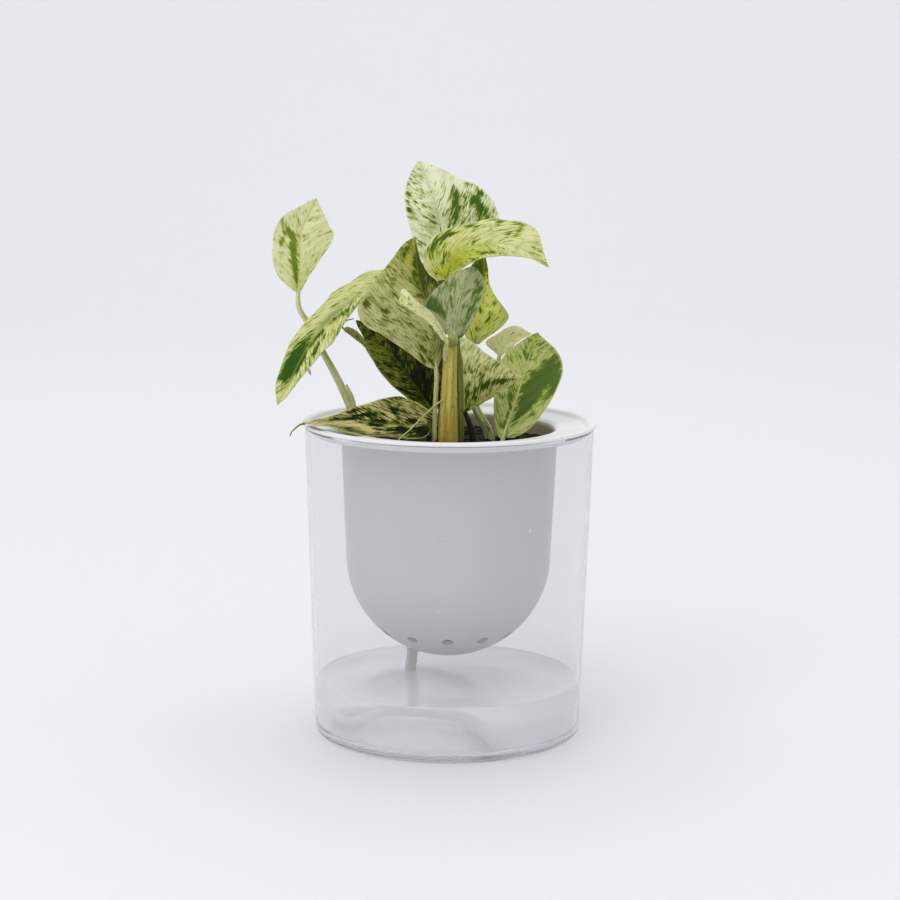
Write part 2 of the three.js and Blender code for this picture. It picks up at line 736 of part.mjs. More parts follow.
function addWater() {
  const water = solidOf(turned(waterProfile(), roundSegments));
  addPart("water", geometryOf(water.subtract(wickSolid(gap))), finish(0xdfe3ea, 0.05));
}

function addWick() {
  addPart("wick", geometryOf(wickSolid(0)), finish(0xdcdcd8, 0.9));
}

function addStem() {
  const stem = stemSolid(0).add(rodSolid(rootRoute, rootRadii, stalkSides, 6, 0));
  addPart("main_stem", geometryOf(stem), finish(0xa39a48, 0.5));
}

function addLeaves() {
  for (const [name, leaf] of Object.entries(leaves)) {
    addPart(name, geometryOf(leafSolid(leaf)), finish(leaf.color, 0.45));
  }
}

addCup();
addInsert();
addSoil();
addWater();
addWick();
addStem();
addLeaves();

export default group;
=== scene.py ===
# Marbled pothos in a clear self-watering planter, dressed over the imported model.
import math
import random

import bpy
import numpy as np
from mathutils import Matrix, Vector, noise


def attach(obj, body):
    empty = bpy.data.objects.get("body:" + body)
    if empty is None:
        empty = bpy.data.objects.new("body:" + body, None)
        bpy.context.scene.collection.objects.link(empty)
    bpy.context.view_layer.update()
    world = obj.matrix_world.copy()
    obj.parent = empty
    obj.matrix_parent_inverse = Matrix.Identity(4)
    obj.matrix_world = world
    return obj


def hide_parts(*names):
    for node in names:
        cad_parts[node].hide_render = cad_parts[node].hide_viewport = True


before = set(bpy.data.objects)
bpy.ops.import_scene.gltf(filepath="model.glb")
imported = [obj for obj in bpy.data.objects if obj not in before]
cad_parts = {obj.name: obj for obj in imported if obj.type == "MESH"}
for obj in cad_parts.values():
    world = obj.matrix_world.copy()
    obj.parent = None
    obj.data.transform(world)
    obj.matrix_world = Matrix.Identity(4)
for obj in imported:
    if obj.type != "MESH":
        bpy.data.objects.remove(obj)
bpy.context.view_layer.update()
scene = bpy.context.scene
scene.view_settings.view_transform = "Standard"
mm = 0.001


# Camera.

camera = {
    "place": (0.00028, -0.9, 0.2515),
    "pitch": 80.93,  # degrees up from looking straight down
    "roll": 0.48,
    "lens": 97.0,
    "sensor": 36.0,
}


def addCamera():
    turn = Matrix.Rotation(math.radians(camera["pitch"]), 4, "X")
    turn = turn @ Matrix.Rotation(math.radians(camera["roll"]), 4, "Z")
    bpy.ops.object.camera_add(location=camera["place"], rotation=turn.to_euler())
    scene.camera = bpy.context.object
    scene.camera.data.lens = camera["lens"]
    scene.camera.data.sensor_width = camera["sensor"]


# Helpers for meshes.

def deselectAll():
    if bpy.context.object and bpy.context.object.mode != "OBJECT":
        bpy.ops.object.mode_set(mode="OBJECT")
    bpy.ops.object.select_all(action="DESELECT")


def pick(piece):
    deselectAll()
    piece.select_set(True)
    bpy.context.view_layer.objects.active = piece


def placeInMesh(piece):
    pick(piece)
    bpy.ops.object.transform_apply(location=True, rotation=True, scale=True)


def applyModifier(piece, kind, **values):
    pick(piece)
    change = piece.modifiers.new(kind.title(), kind)
    for key, value in values.items():
        setattr(change, key, value)
    bpy.ops.object.modifier_apply(modifier=change.name)


def smoothByAngle(piece, degrees):
    pick(piece)
    bpy.ops.object.shade_smooth_by_angle(angle=math.radians(degrees))


def joinPieces(pieces, name):
    deselectAll()
    for piece in pieces:
        piece.select_set(True)
    bpy.context.view_layer.objects.active = pieces[0]
    bpy.ops.object.join()
    pieces[0].name = name
    pieces[0].data.name = name
    return pieces[0]


def dress(piece, materials, nodes):
    piece.data.materials.clear()
    for material in materials:
        piece.data.materials.append(material)
    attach(piece, "root")
    if nodes:
        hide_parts(*nodes)


# Turns a round body by hand: a filled circle is extruded from ring to ring.
def turnByRings(name, rings, sides=128):
    deselectAll()
    firstRadius, firstHeight = rings[0]
    bpy.ops.mesh.primitive_circle_add(
        vertices=sides,
        radius=firstRadius * mm,
        fill_type="NGON",
        location=(0, 0, firstHeight * mm),
    )
    piece = bpy.context.object
    piece.name = name
    placeInMesh(piece)
    bpy.ops.object.mode_set(mode="EDIT")
    bpy.ops.mesh.select_all(action="SELECT")
    for (lastRadius, lastHeight), (radius, height) in zip(rings, rings[1:]):
        lift = (0, 0, (height - lastHeight) * mm)
        bpy.ops.mesh.extrude_region_move(TRANSFORM_OT_translate={"value": lift})
        share = radius / lastRadius
        centre = (0, 0, height * mm)
        bpy.ops.transform.resize(value=(share, share, 1), center_override=centre)
    bpy.ops.mesh.select_all(action="SELECT")
    bpy.ops.mesh.normals_make_consistent(inside=False)
    bpy.ops.object.mode_set(mode="OBJECT")
    return piece


# Part of a circle as [radius, height] rings, from one angle to another in degrees.
def arcRings(centreRadius, centreHeight, radius, start, end, steps):
    rings = []
    for step in range(steps + 1):
        angle = math.radians(start + (end - start) * step / steps)
        out = radius * math.cos(angle)
        up = radius * math.sin(angle)
        rings.append((centreRadius + out, centreHeight + up))
    return rings


# Evenly spaced points of a smooth line through the way points, in metres.
def smoothRoute(route, steps):
    points = [Vector(point) * mm for point in route]
    ends = [points[0] * 2 - points[1], *points, points[-1] * 2 - points[-2]]
    fine = []
    for index in range(len(points) - 1):
        a, b, c, d = ends[index : index + 4]
        reachA, reachB, reachC = ((q - p).length ** 0.5 for p, q in ((a, b), (b, c), (c, d)))
        leave = ((b - a) / reachA - (c - a) / (reachA + reachB) + (c - b) / reachB) * reachB
        arrive = ((c - b) / reachB - (d - b) / (reachB + reachC) + (d - c) / reachC) * reachB
        for part in range(30):
            t = part / 30
            curve = (2 * b - 2 * c + leave + arrive) * t**3
            curve += (3 * c - 3 * b - 2 * leave - arrive) * t**2
            fine.append(b + leave * t + curve)
    fine.append(points[-1])
    lengths = [0]
    for before, after in zip(fine, fine[1:]):
        lengths.append(lengths[-1] + (after - before).length)
    spots = np.linspace(0, lengths[-1], steps + 1)
    axes = [np.interp(spots, lengths, [point[axis] for point in fine]) for axis in range(3)]
    return [Vector(point) for point in zip(*axes)], lengths[-1]


# A round tube along a route, with a skin attribute: x and y round it, z along it, in mm.
def sweepTube(name, route, radii, sides, steps, relief=None):
    line, length = smoothRoute(route, steps)
    vertices = []
    skin = []
    side = None
    for step, centre in enumerate(line):
        before = line[max(step - 1, 0)]
        after = line[min(step + 1, steps)]
        along = (after - before).normalized()
        side = along.orthogonal() if side is None else side
        side = (side - along * side.dot(along)).normalized()
        other = along.cross(side)
        share = step / steps
        radius = np.interp(share, np.linspace(0, 1, len(radii)), radii) * mm
        for index in range(sides):
            angle = index / sides * 2 * math.pi
            cosine, sine = math.cos(angle), math.sin(angle)
            height = share * length / mm
            swell = relief(angle, height) if relief else 1
            vertices.append(centre + (side * cosine + other * sine) * radius * swell)
            skin.append((radius / mm * cosine, radius / mm * sine, height))
    faces = [tuple(reversed(range(sides))), tuple(range(steps * sides, (steps + 1) * sides))]
    for low in range(0, steps * sides, sides):
        high = low + sides
        for index in range(sides):
            following = (index + 1) % sides
            faces.append((low + index, low + following, high + following, high + index))
    mesh = bpy.data.meshes.new(name)
    mesh.from_pydata(vertices, [], faces)
    layer = mesh.attributes.new("skin", "FLOAT_VECTOR", "POINT")
    layer.data.foreach_set("vector", np.array(skin, dtype=np.float32).ravel())
    piece = bpy.data.objects.new(name, mesh)
    scene.collection.objects.link(piece)
    smoothByAngle(piece, 60)
    return piece


# Helpers for materials.

# Colour picked as 0 to 255 on screen.
def tone(red, green, blue):
    picked = (value / 255 for value in (red, green, blue))
    linear = [v / 12.92 if v <= 0.04045 else ((v + 0.055) / 1.055) ** 2.4 for v in picked]
    return (*linear, 1)


def newMaterial(name):
    material = bpy.data.materials.new(name)
    material.use_nodes = True
    tree = material.node_tree
    tree.nodes.clear()
    tree.nodes.new("ShaderNodeOutputMaterial")
    shader = tree.nodes.new("ShaderNodeBsdfPrincipled")
    showSurface(tree, shader)
    return material, tree, shader


def showSurface(tree, node):
    tree.links.new(node.outputs[0], tree.nodes["Material Output"].inputs["Surface"])


def addNode(tree, kind, inputs=None, **settings):
    node = tree.nodes.new("ShaderNode" + kind)
    for key, value in settings.items():
        setattr(node, key, value)
    for key, value in (inputs or {}).items():
        if isinstance(value, bpy.types.NodeSocket):
            tree.links.new(value, node.inputs[key])
        else:
            node.inputs[key].default_value = value
    return node


def mixColors(tree, share, first, second, blend="MIX"):
    node = tree.nodes.new("ShaderNodeMix")
    node.data_type = "RGBA"
    node.blend_type = blend
    for index, value in ((0, share), (6, first), (7, second)):
        if isinstance(value, bpy.types.NodeSocket):
            tree.links.new(value, node.inputs[index])
        else:
            node.inputs[index].default_value = value
    return node.outputs[2]


def doMath(tree, operation, first, second=0.0, clamp=False):
    node = tree.nodes.new("ShaderNodeMath")
    node.operation = operation
    node.use_clamp = clamp
    for index, value in ((0, first), (1, second)):
        if isinstance(value, bpy.types.NodeSocket):
            tree.links.new(value, node.inputs[index])
        else:
            node.inputs[index].default_value = value
    return node.outputs[0]


def colorRamp(tree, share, stops):
    node = addNode(tree, "ValToRGB", {"Fac": share})
    ramp = node.color_ramp
    while len(ramp.elements) < len(stops):
        ramp.elements.new(0.5)
    for element, (place, color) in zip(ramp.elements, stops):
        element.position = place
        element.color = color
    return node.outputs["Color"]


def greyRamp(tree, share, stops):
    return colorRamp(tree, share, [(place, (grey, grey, grey, 1)) for place, grey in stops])


# Noise over coordinates that are first stretched and moved.
def stretchedNoise(tree, coordinates, scale, location=(0, 0, 0), detail=3, rough=0.5):
    mapping = addNode(tree, "Mapping", {"Vector": coordinates})
    mapping.inputs["Scale"].default_value = scale
    mapping.inputs["Location"].default_value = location
    values = {"Vector": mapping.outputs[0], "Scale": 1.0, "Detail": detail, "Roughness": rough}
    return addNode(tree, "TexNoise", values).outputs["Fac"]


def objectCoordinates(tree):
    return tree.nodes.new("ShaderNodeTexCoord").outputs["Object"]


def meshLayer(tree, name, output="Fac"):
    return addNode(tree, "Attribute", attribute_name=name).outputs[output]


def addBump(tree, shader, height, distance, strength=1.0):
    node = addNode(tree, "Bump", {"Height": height})
    node.inputs["Distance"].default_value = distance
    node.inputs["Strength"].default_value = strength
    tree.links.new(node.outputs[0], shader.inputs["Normal"])


# Lets lamps through clear plastic and water, so that what is inside is lit.
def letLampsThrough(tree, shader, tint):
    path = tree.nodes.new("ShaderNodeLightPath")
    clear = addNode(tree, "BsdfTransparent", {"Color": tint})
    share = doMath(tree, "MAXIMUM", path.outputs["Is Shadow Ray"], path.outputs["Is Diffuse Ray"])
    mix = addNode(tree, "MixShader", {0: share, 1: shader.outputs[0], 2: clear.outputs[0]})
    showSurface(tree, mix)


# Cotton wick.

wick = {
    "route": [
        (-10, 17, 68),
        (-11.5, 20, 54),
        (-13, 22.5, 41),
        (-13.6, 18, 30),
        (-14.5, 11, 20.5),
        (-20, 0, 10),
        (-28, -2, 5.3),
        (-30, 8, 5.3),
        (-22, 21, 5.3),
        (-9, 28, 5.3),
        (3, 18, 5.3),
        (8, 2, 5.3),
        (12, -15, 5.3),
        (17, -38, 5.3),
    ],
    "radius": 2.2,
    "exit": (-12.2, 21.2, 48),
    "sides": 24,
    "steps": 420,
    "strands": 3,
    "twistEvery": 11.0,  # mm for a full turn of the strands
    "color": tone(226, 224, 216),
    "shade": tone(176, 172, 160),
    "fibres": (6, 6, 1.2),  # marks per millimetre round it and along it
    "patches": (0.5, 0.5, 0.12),
    "contrast": 2.6,
    "bump": (0.0004, 0.8),  # depth in metres, strength
    "roughness": 0.92,
    "sheen": 0.3,
}


def wickRelief(angle, length):
    turn = length / wick["twistEvery"] * 2 * math.pi
    return 0.95 + 0.06 * math.cos(wick["strands"] * (angle + turn))


def cottonMaterial():
    material, tree, shader = newMaterial("cottonCord")
    skin = meshLayer(tree, "skin", "Vector")
    fibres = stretchedNoise(tree, skin, wick["fibres"], detail=4, rough=0.7)
    patches = stretchedNoise(tree, skin, wick["patches"], location=(4, 1, 7), detail=2)
    share = doMath(tree, "MULTIPLY", fibres, patches)
    share = doMath(tree, "MULTIPLY", share, wick["contrast"], clamp=True)
    color = mixColors(tree, share, wick["shade"], wick["color"])
    tree.links.new(color, shader.inputs["Base Color"])
    shader.inputs["Roughness"].default_value = wick["roughness"]
    shader.inputs["Sheen Weight"].default_value = wick["sheen"]
    addBump(tree, shader, fibres, *wick["bump"])
    return material


def addWick():
    radii = [wick["radius"]] * 2
    piece = sweepTube("cottonWick", wick["route"], radii, wick["sides"], wick["steps"], wickRelief)
    dress(piece, [cottonMaterial()], ["wick"])
    line, length = smoothRoute(wick["route"], 60)
    print("wick", round(length, 4), "m")


addCamera()
addWick()


# Clear cup.

cup = {
    "footRadius": 50.3,
    "topRadius": 54.2,
    "height": 117.3,
    "wall": 1.5,
    "floor": 2.5,
    "corner": 3.0,
    "footRing": 3.0,  # width of the ring that the cup stands on
    "recess": 0.4,  # how far the bottom inside that ring is raised
    "rimRound": 0.4,
    "rimDrop": 0.5,
    "cornerSteps": 8,
    "sides": 192,
    "tint": (0.95, 0.945, 0.955, 1),
    "clarity": 0.93,  # the rest is a faint milky haze
    "refraction": 1.46,
    "scuffs": (60, 60, 22),  # marks per metre
    "roughness": [(0.35, 0.015), (0.75, 0.03)],  # by the noise of its scuffs
    "lampTint": (0.93, 0.93, 0.94, 1),
}


def cupRings():
    top = cup["topRadius"]
    topInside = top - cup["wall"]
    corner = cup["corner"]
    foot = cup["footRadius"] - corner
    footInside = foot - cup["wall"]
    rimRound = cup["rimRound"]
    rimStart = cup["height"] - cup["rimDrop"]
    steps = cup["cornerSteps"]
    rings = [(foot - cup["footRing"] - 1, cup["recess"]), (foot - cup["footRing"], 0)]
    rings += arcRings(foot, corner, corner, -90, 0, steps)
    rings += [(top, rimStart), (top - rimRound, cup["height"])]
    rings += [(topInside + rimRound, cup["height"]), (topInside, rimStart)]
    rings += arcRings(footInside, cup["floor"] + corner, corner, 0, -90, steps)
    return rings


def clearPlastic():
    material, tree, shader = newMaterial("clearPlastic")
    shader.inputs["Base Color"].default_value = cup["tint"]
    shader.inputs["Transmission Weight"].default_value = cup["clarity"]
    shader.inputs["IOR"].default_value = cup["refraction"]
    scuffs = stretchedNoise(tree, objectCoordinates(tree), cup["scuffs"], detail=3)
    rough = greyRamp(tree, scuffs, cup["roughness"])
    tree.links.new(rough, shader.inputs["Roughness"])
    letLampsThrough(tree, shader, cup["lampTint"])
    return material


def addCup():
    piece = turnByRings("clearCup", cupRings(), cup["sides"])
    smoothByAngle(piece, 35)
    dress(piece, [clearPlastic()], ["outer_cup"])


# White insert.

insert = {
    "lipRadius": 55.0,
    "lipTop": 118.9,
    "lipInner": 51.9,
    "lipUnder": 117.6,
    "flangeTop": 117.2,
    "flangeUnder": 114.9,
    "skirtRadius": 51.7,
    "topRadius": 40.9,
    "lowRadius": 38.6,
    "wall": 1.8,
    "bowlCentre": 68.5,
    "bowlSteps": 22,
    "mouthRound": 2.6,
    "drainCount": 12,
    "drainRing": 26.0,
    "drainRadius": 2.1,
    "drillLength": 10.0,
    "wickDrain": 4,
    "wickDrainSpare": 0.5,
    "color": tone(207, 206, 208),
    "shade": tone(194, 194, 197),
    # painted light: the flange is far lighter than the body below, for the light on its top while
    # the wall below is in shade
    "flangeLitTone": tone(240, 239, 240),
    "inside": tone(178, 168, 148),  # painted shade: the wall above the soil, darker and warm for the shade in the mouth and the light the soil throws back
    "insideShadeFrom": 107.0,  # height where that painted shade starts
    "clouds": (28, 28, 10),  # marks per metre
    "grain": (900, 900, 900),
    "bump": (0.00003, 0.2),
    "roughness": [(0.3, 0.3), (0.7, 0.42)],  # by the noise of its clouds
}


def insertRings():
    lipRadius = insert["lipRadius"]
    lipTop = insert["lipTop"]
    lipInner = insert["lipInner"]
    innerTop = insert["topRadius"] - insert["wall"]
    innerLow = insert["lowRadius"] - insert["wall"]
    low = insert["bowlCentre"]
    rings = arcRings(0, low, insert["lowRadius"], -88, 0, insert["bowlSteps"])
    rings += [
        (insert["topRadius"] - 0.3, insert["flangeUnder"] - 0.6),
        (insert["topRadius"] + 0.4, insert["flangeUnder"]),
        (insert["skirtRadius"] - 0.4, insert["flangeUnder"]),
        (insert["skirtRadius"], insert["flangeUnder"] + 0.4),
        (insert["skirtRadius"], insert["lipUnder"]),
        (lipRadius - 0.35, insert["lipUnder"]),
        (lipRadius, insert["lipUnder"] + 0.3),
        (lipRadius, lipTop - 0.5),
        (lipRadius - 0.2, lipTop - 0.15),
        (lipRadius - 0.6, lipTop),
        (lipInner + 0.5, lipTop),
        (lipInner + 0.1, lipTop - 0.2),
        (lipInner - 0.2, lipTop - 0.7),
        (lipInner - 0.6, insert["flangeTop"] + 0.3),
        (lipInner - 1.2, insert["flangeTop"]),
    ]
    mouth = insert["mouthRound"]
    rings += arcRings(innerTop + mouth, insert["flangeTop"] - mouth, mouth, 90, 180, 6)
    rings += arcRings(0, low, innerLow, 0, -88, insert["bowlSteps"])
    return rings


def drillDrains(piece):
    drills = []
    reach = insert["drainRing"]
    drop = math.sqrt(insert["lowRadius"] ** 2 - reach**2)
    for drain in range(insert["drainCount"]):
        angle = drain / insert["drainCount"] * 2 * math.pi
        spare = insert["wickDrainSpare"] if drain == insert["wickDrain"] else 0
        spot = Vector((reach * math.cos(angle), reach * math.sin(angle), -drop))
        deselectAll()
        bpy.ops.mesh.primitive_cylinder_add(
            vertices=24,
            radius=(insert["drainRadius"] + spare) * mm,
            depth=insert["drillLength"] * mm,
            location=(spot + Vector((0, 0, insert["bowlCentre"]))) * mm,
            rotation=spot.to_track_quat("Z", "Y").to_euler(),
        )
        drills.append(bpy.context.object)
    drill = joinPieces(drills, "drainDrill")
    applyModifier(piece, "BOOLEAN", operation="DIFFERENCE", object=drill, solver="EXACT")
    bpy.data.objects.remove(drill)


def whitePlastic():
    material, tree, shader = newMaterial("whitePlastic")
    place = objectCoordinates(tree)
    clouds = stretchedNoise(tree, place, insert["clouds"], detail=2)
    grain = stretchedNoise(tree, place, insert["grain"], detail=2)
    body = mixColors(tree, clouds, insert["shade"], insert["color"])
    height = addNode(tree, "SeparateXYZ", {0: place}).outputs["Z"]
    flat = addNode(tree, "VectorMath", {0: place, 1: (1, 1, 0)}, operation="MULTIPLY")
    reach = addNode(tree, "VectorMath", {0: flat.outputs[0]}, operation="LENGTH").outputs["Value"]
    # Painted light: from the flange's underside up, the colour turns to the lit flange tone.
    under = insert["flangeUnder"]
    fade = {0: height, 1: (under - 0.1) * mm, 2: (under + 0.6) * mm}
    raised = addNode(tree, "MapRange", fade).outputs[0]
    color = mixColors(tree, raised, body, insert["flangeLitTone"])
    # Painted shade in the mouth: nearer the middle than the outer wall, and high up in the insert.
    wallInside = insert["topRadius"] - insert["wall"]
    fade = {0: reach, 1: (wallInside + 0.8) * mm, 2: (wallInside + 0.3) * mm}
    inner = addNode(tree, "MapRange", fade).outputs[0]
    above = doMath(tree, "GREATER_THAN", height, insert["insideShadeFrom"] * mm)
    color = mixColors(tree, doMath(tree, "MULTIPLY", inner, above), color, insert["inside"])
    tree.links.new(color, shader.inputs["Base Color"])
    rough = greyRamp(tree, clouds, insert["roughness"])
    tree.links.new(rough, shader.inputs["Roughness"])
    addBump(tree, shader, grain, *insert["bump"])
    return material


def addInsert():
    piece = turnByRings("whiteInsert", insertRings())
    drillDrains(piece)
    smoothByAngle(piece, 35)
    dress(piece, [whitePlastic()], ["insert_pot"])


addCup()
addInsert()
print("cup and insert")


# Potting soil.

soil = {
    "top": 111.5,
    "radius": 39.3,
    "bowlRadius": 36.5,
    "bowlCentre": 68.5,
    "bodySides": 64,
    "rows": 130,
    "sheetDepth": 2.5,
    "lumps": ((4.5, 0.9), (1.6, 0.55), (14, 0.8)),  # size and height
    "crumbs": 420,
    "crumbSize": (0.35, 1.1),
    "crumbStretch": (1, 2.2),
    "crumbFlatness": 0.7,
    "crumbTilt": 0.4,
    "grit": (420, 420, 420),  # marks per metre
    "fibres": (1500, 260, 900),
    "bump": (0.0008, 1),
    "dark": tone(12, 8, 6),
    "light": tone(50, 37, 26),
    "roughness": 0.95,
}


# Top sheet of the soil: a square grid is drawn into a disc and roughened.
def soilTop():
    deselectAll()
    rows = soil["rows"]
    bpy.ops.mesh.primitive_grid_add(x_subdivisions=rows, y_subdivisions=rows, size=2)
    piece = bpy.context.object
    for vertex in piece.data.vertices:
        x, y = vertex.co.x, vertex.co.y
        reach = max(abs(x), abs(y))
        length = math.hypot(x, y) or 1
        place = Vector((x / length * reach, y / length * reach, 0)) * soil["radius"]
        rise = sum(noise.noise(place / size) * height for size, height in soil["lumps"])
        place.z = soil["top"] - 0.7 + rise
        vertex.co = place * mm
    pick(piece)
    bpy.ops.object.mode_set(mode="EDIT")
    bpy.ops.mesh.select_all(action="SELECT")
    drop = (0, 0, -soil["sheetDepth"] * mm)
    bpy.ops.mesh.extrude_region_move(TRANSFORM_OT_translate={"value": drop})
    bpy.ops.mesh.select_all(action="SELECT")
    bpy.ops.mesh.normals_make_consistent(inside=False)
    bpy.ops.object.mode_set(mode="OBJECT")
    return piece


# Loose crumbs and bark bits that lie on the soil.
def soilCrumbs():
    random.seed(11)
    deselectAll()
    bpy.ops.mesh.primitive_ico_sphere_add(subdivisions=1, radius=1)
    pattern = bpy.context.object
    crumbs = []
    for index in range(soil["crumbs"]):
        copy = pattern.copy()
        copy.data = pattern.data.copy()
        scene.collection.objects.link(copy)
        angle = random.uniform(0, 2 * math.pi)
        reach = soil["radius"] * math.sqrt(random.uniform(0, 0.93))
        size = random.uniform(*soil["crumbSize"])
        length = size * random.uniform(*soil["crumbStretch"])
        turn = Matrix.Rotation(random.uniform(0, 6.28), 4, "Z")
        tilt = random.uniform(-soil["crumbTilt"], soil["crumbTilt"])
        turn = turn @ Matrix.Rotation(tilt, 4, "X")
        place = Vector((reach * math.cos(angle), reach * math.sin(angle), soil["top"] - 0.35))
        for vertex in copy.data.vertices:
            point = vertex.co * random.uniform(0.75, 1.1)
            flat = point.z * size * soil["crumbFlatness"]
            point = turn @ Vector((point.x * length, point.y * size, flat))
            vertex.co = (place + point) * mm
        crumbs.append(copy)
    bpy.data.objects.remove(pattern)
    return joinPieces(crumbs, "crumbs")


def pottingMix():
    material, tree, shader = newMaterial("pottingMix")
    place = objectCoordinates(tree)
    grit = stretchedNoise(tree, place, soil["grit"], detail=5, rough=0.7)
    fibres = stretchedNoise(tree, place, soil["fibres"], detail=4, rough=0.7)
    share = doMath(tree, "MULTIPLY", grit, fibres)
    color = colorRamp(tree, share, [(0.15, soil["dark"]), (0.45, soil["light"])])
    tree.links.new(color, shader.inputs["Base Color"])
    shader.inputs["Roughness"].default_value = soil["roughness"]
    addBump(tree, shader, grit, *soil["bump"])
    return material


def addSoil():
    rings = arcRings(0, soil["bowlCentre"], soil["bowlRadius"], -87, 0, 14)
    rings.append((soil["radius"] - 0.8, soil["top"] - 1.8))
    body = turnByRings("soilBody", rings, soil["bodySides"])
    piece = joinPieces([body, soilTop(), soilCrumbs()], "pottingSoil")
    smoothByAngle(piece, 60)
    dress(piece, [pottingMix()], ["soil"])


addSoil()
print("soil")


# Water.

water = {
    "top": 20.5,
    "footRadius": 48.6,
    "overlap": 0.15,  # how far it runs into the cup's wall, so that no air shows between
    "floor": 2.5,
    "meniscus": 0.9,
    "edge": ((0, 1), (0.35, 0.8), (0.8, 0.4), (1.6, 0.12), (3, 0), (12, 0)),  # inset, rise
    "drops": [(-2.5, 84), (-1.5, 78), (-3.6, 61.5), (-3.6, 57), (29.5, 85.5)],
    "dropRadius": 0.95,
    "dropShape": (0.85, 0.45, 1.1),
    "tint": (0.975, 0.97, 0.99, 1),
    "refraction": 1.33,
    "pool": (0.5, 0.12),  # clarity and roughness
    "drop": (1.0, 0.02),
    "ripples": (30, 30, 30),  # marks per metre
    "bump": (0.0008, 0.12),
    "lampTint": (0.97, 0.97, 0.98, 1),
}


# Radius of the cup's inner wall at a height.
def cupInside(height):
    slope = (cup["topRadius"] - cup["footRadius"]) / cup["height"]
    return water["footRadius"] + slope * height


def waterRings():
    overlap = water["overlap"]
    corner = cup["corner"]
    foot = water["footRadius"] - corner
    steps = cup["cornerSteps"]
    rings = arcRings(foot, water["floor"] + corner, corner + overlap, -90, 0, steps)
    top = cupInside(water["top"]) + overlap
    for inset, rise in water["edge"]:
        rings.append((top - inset, water["top"] + rise * water["meniscus"]))
    return rings


# Small drops that cling to the cup's inner wall.
def addDrops():
    drops = []
    for x, height in water["drops"]:
        y = -math.sqrt(cupInside(height) ** 2 - x**2)
        deselectAll()
        bpy.ops.mesh.primitive_uv_sphere_add(
            segments=20,
            ring_count=12,
            radius=water["dropRadius"] * mm,
            location=(x * mm, y * mm, height * mm),
        )
        drop = bpy.context.object
        drop.scale = water["dropShape"]
        placeInMesh(drop)
        drops.append(drop)
    return drops


def clearWater(name, clarity, roughness):
    material, tree, shader = newMaterial(name)
    shader.inputs["Base Color"].default_value = water["tint"]
    shader.inputs["Transmission Weight"].default_value = clarity
    shader.inputs["IOR"].default_value = water["refraction"]
    shader.inputs["Roughness"].default_value = roughness
    ripples = stretchedNoise(tree, objectCoordinates(tree), water["ripples"], detail=1)
    addBump(tree, shader, ripples, *water["bump"])
    letLampsThrough(tree, shader, water["lampTint"])
    return material


def addWater():
    pool = turnByRings("waterBody", waterRings())
    pool.data.materials.append(clearWater("poolWater", *water["pool"]))
    dropWater = clearWater("dropWater", *water["drop"])
    drops = addDrops()
    for drop in drops:
        drop.data.materials.append(dropWater)
    piece = joinPieces([pool, *drops], "poolWater")
    smoothByAngle(piece, 50)
    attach(piece, "root")
    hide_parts("water")


addWater()
print("water")


# Stem.

stem = {
    "route": [(-0.5, 0, 96), (-0.5, 0, 112), (-0.3, 0, 130), (0.25, -1.2, 147.2)],
    "radii": [3.8, 3.8, 3.0, 2.42],
    "sides": 48,
    "steps": 90,
    "ribs": ((7, 0.02, 0), (13, 0.015, 1)),  # number round it, rise, turn
    "ringAt": 33.0,  # mm up the stem, where an old leaf sat
    "ringWidth": 0.9,
    "ringRise": 0.05,
    "rootRoute": [
        (-1.5, -1.5, 127.5),
        (-4.5, -4, 126),
        (-9, -8.5, 122.5),
        (-14.5, -15.5, 117.8),
        (-18.5, -21.5, 115),
        (-20.5, -25, 112.3),
    ],
    "rootRadii": [0.36, 0.26, 0.2],
    "rootSides": 10,
    "rootSteps": 40,
    "pale": tone(218, 208, 108),
    "olive": tone(170, 158, 48),
    "dark": tone(112, 96, 18),
    "foot": (1.0, 0.82, 0.64, 1),  # brown cast of the lowest stretch
    "footFade": (27, 15),  # mm up the stem, from none to all of it
    "spots": [(0.3, 0.45), (0.42, 1)],
    "bump": (0.0003, 0.6),
    "roughness": 0.42,
}


# Tones of a petiole from pale to dark, where its leaf has none of its own.
petioleTones = (tone(218, 218, 168), tone(190, 194, 122), tone(140, 152, 70))


def stemRelief(angle, length):
    ribs = sum(rise * math.cos(count * angle + turn) for count, rise, turn in stem["ribs"])
    away = (length - stem["ringAt"]) / stem["ringWidth"]
    ring = stem["ringRise"] * math.exp(-(away**2))
    return 1 + ribs + ring


def stemSkin(name, pale, olive, dark, stretch=0.06, foot=None):
    material, tree, shader = newMaterial(name)
    skin = meshLayer(tree, "skin", "Vector")
    stripes = stretchedNoise(tree, skin, (0.75, 0.75, stretch * 0.4), detail=3, rough=0.6)
    fine = stretchedNoise(tree, skin, (2.6, 2.6, stretch), location=(3, 8, 1), detail=4)
    spots = stretchedNoise(tree, skin, (1.1, 1.1, 0.6), location=(9, 2, 4), detail=2)
    share = doMath(tree, "MULTIPLY_ADD", fine, 0.45)
    share.node.inputs[2].default_value = -0.2
    share = doMath(tree, "ADD", share, stripes)
    color = colorRamp(tree, share, [(0.24, dark), (0.42, olive), (0.66, pale)])
    color = mixColors(tree, 0.6, color, greyRamp(tree, spots, stem["spots"]), "MULTIPLY")
    if foot:
        length = addNode(tree, "SeparateXYZ", {0: skin}).outputs["Z"]
        start, end = stem["footFade"]
        share = addNode(tree, "MapRange", {0: length, 1: start, 2: end}).outputs[0]
        color = mixColors(tree, share, color, foot, "MULTIPLY")
    tree.links.new(color, shader.inputs["Base Color"])
    shader.inputs["Roughness"].default_value = stem["roughness"]
    addBump(tree, shader, fine, *stem["bump"])
    return material


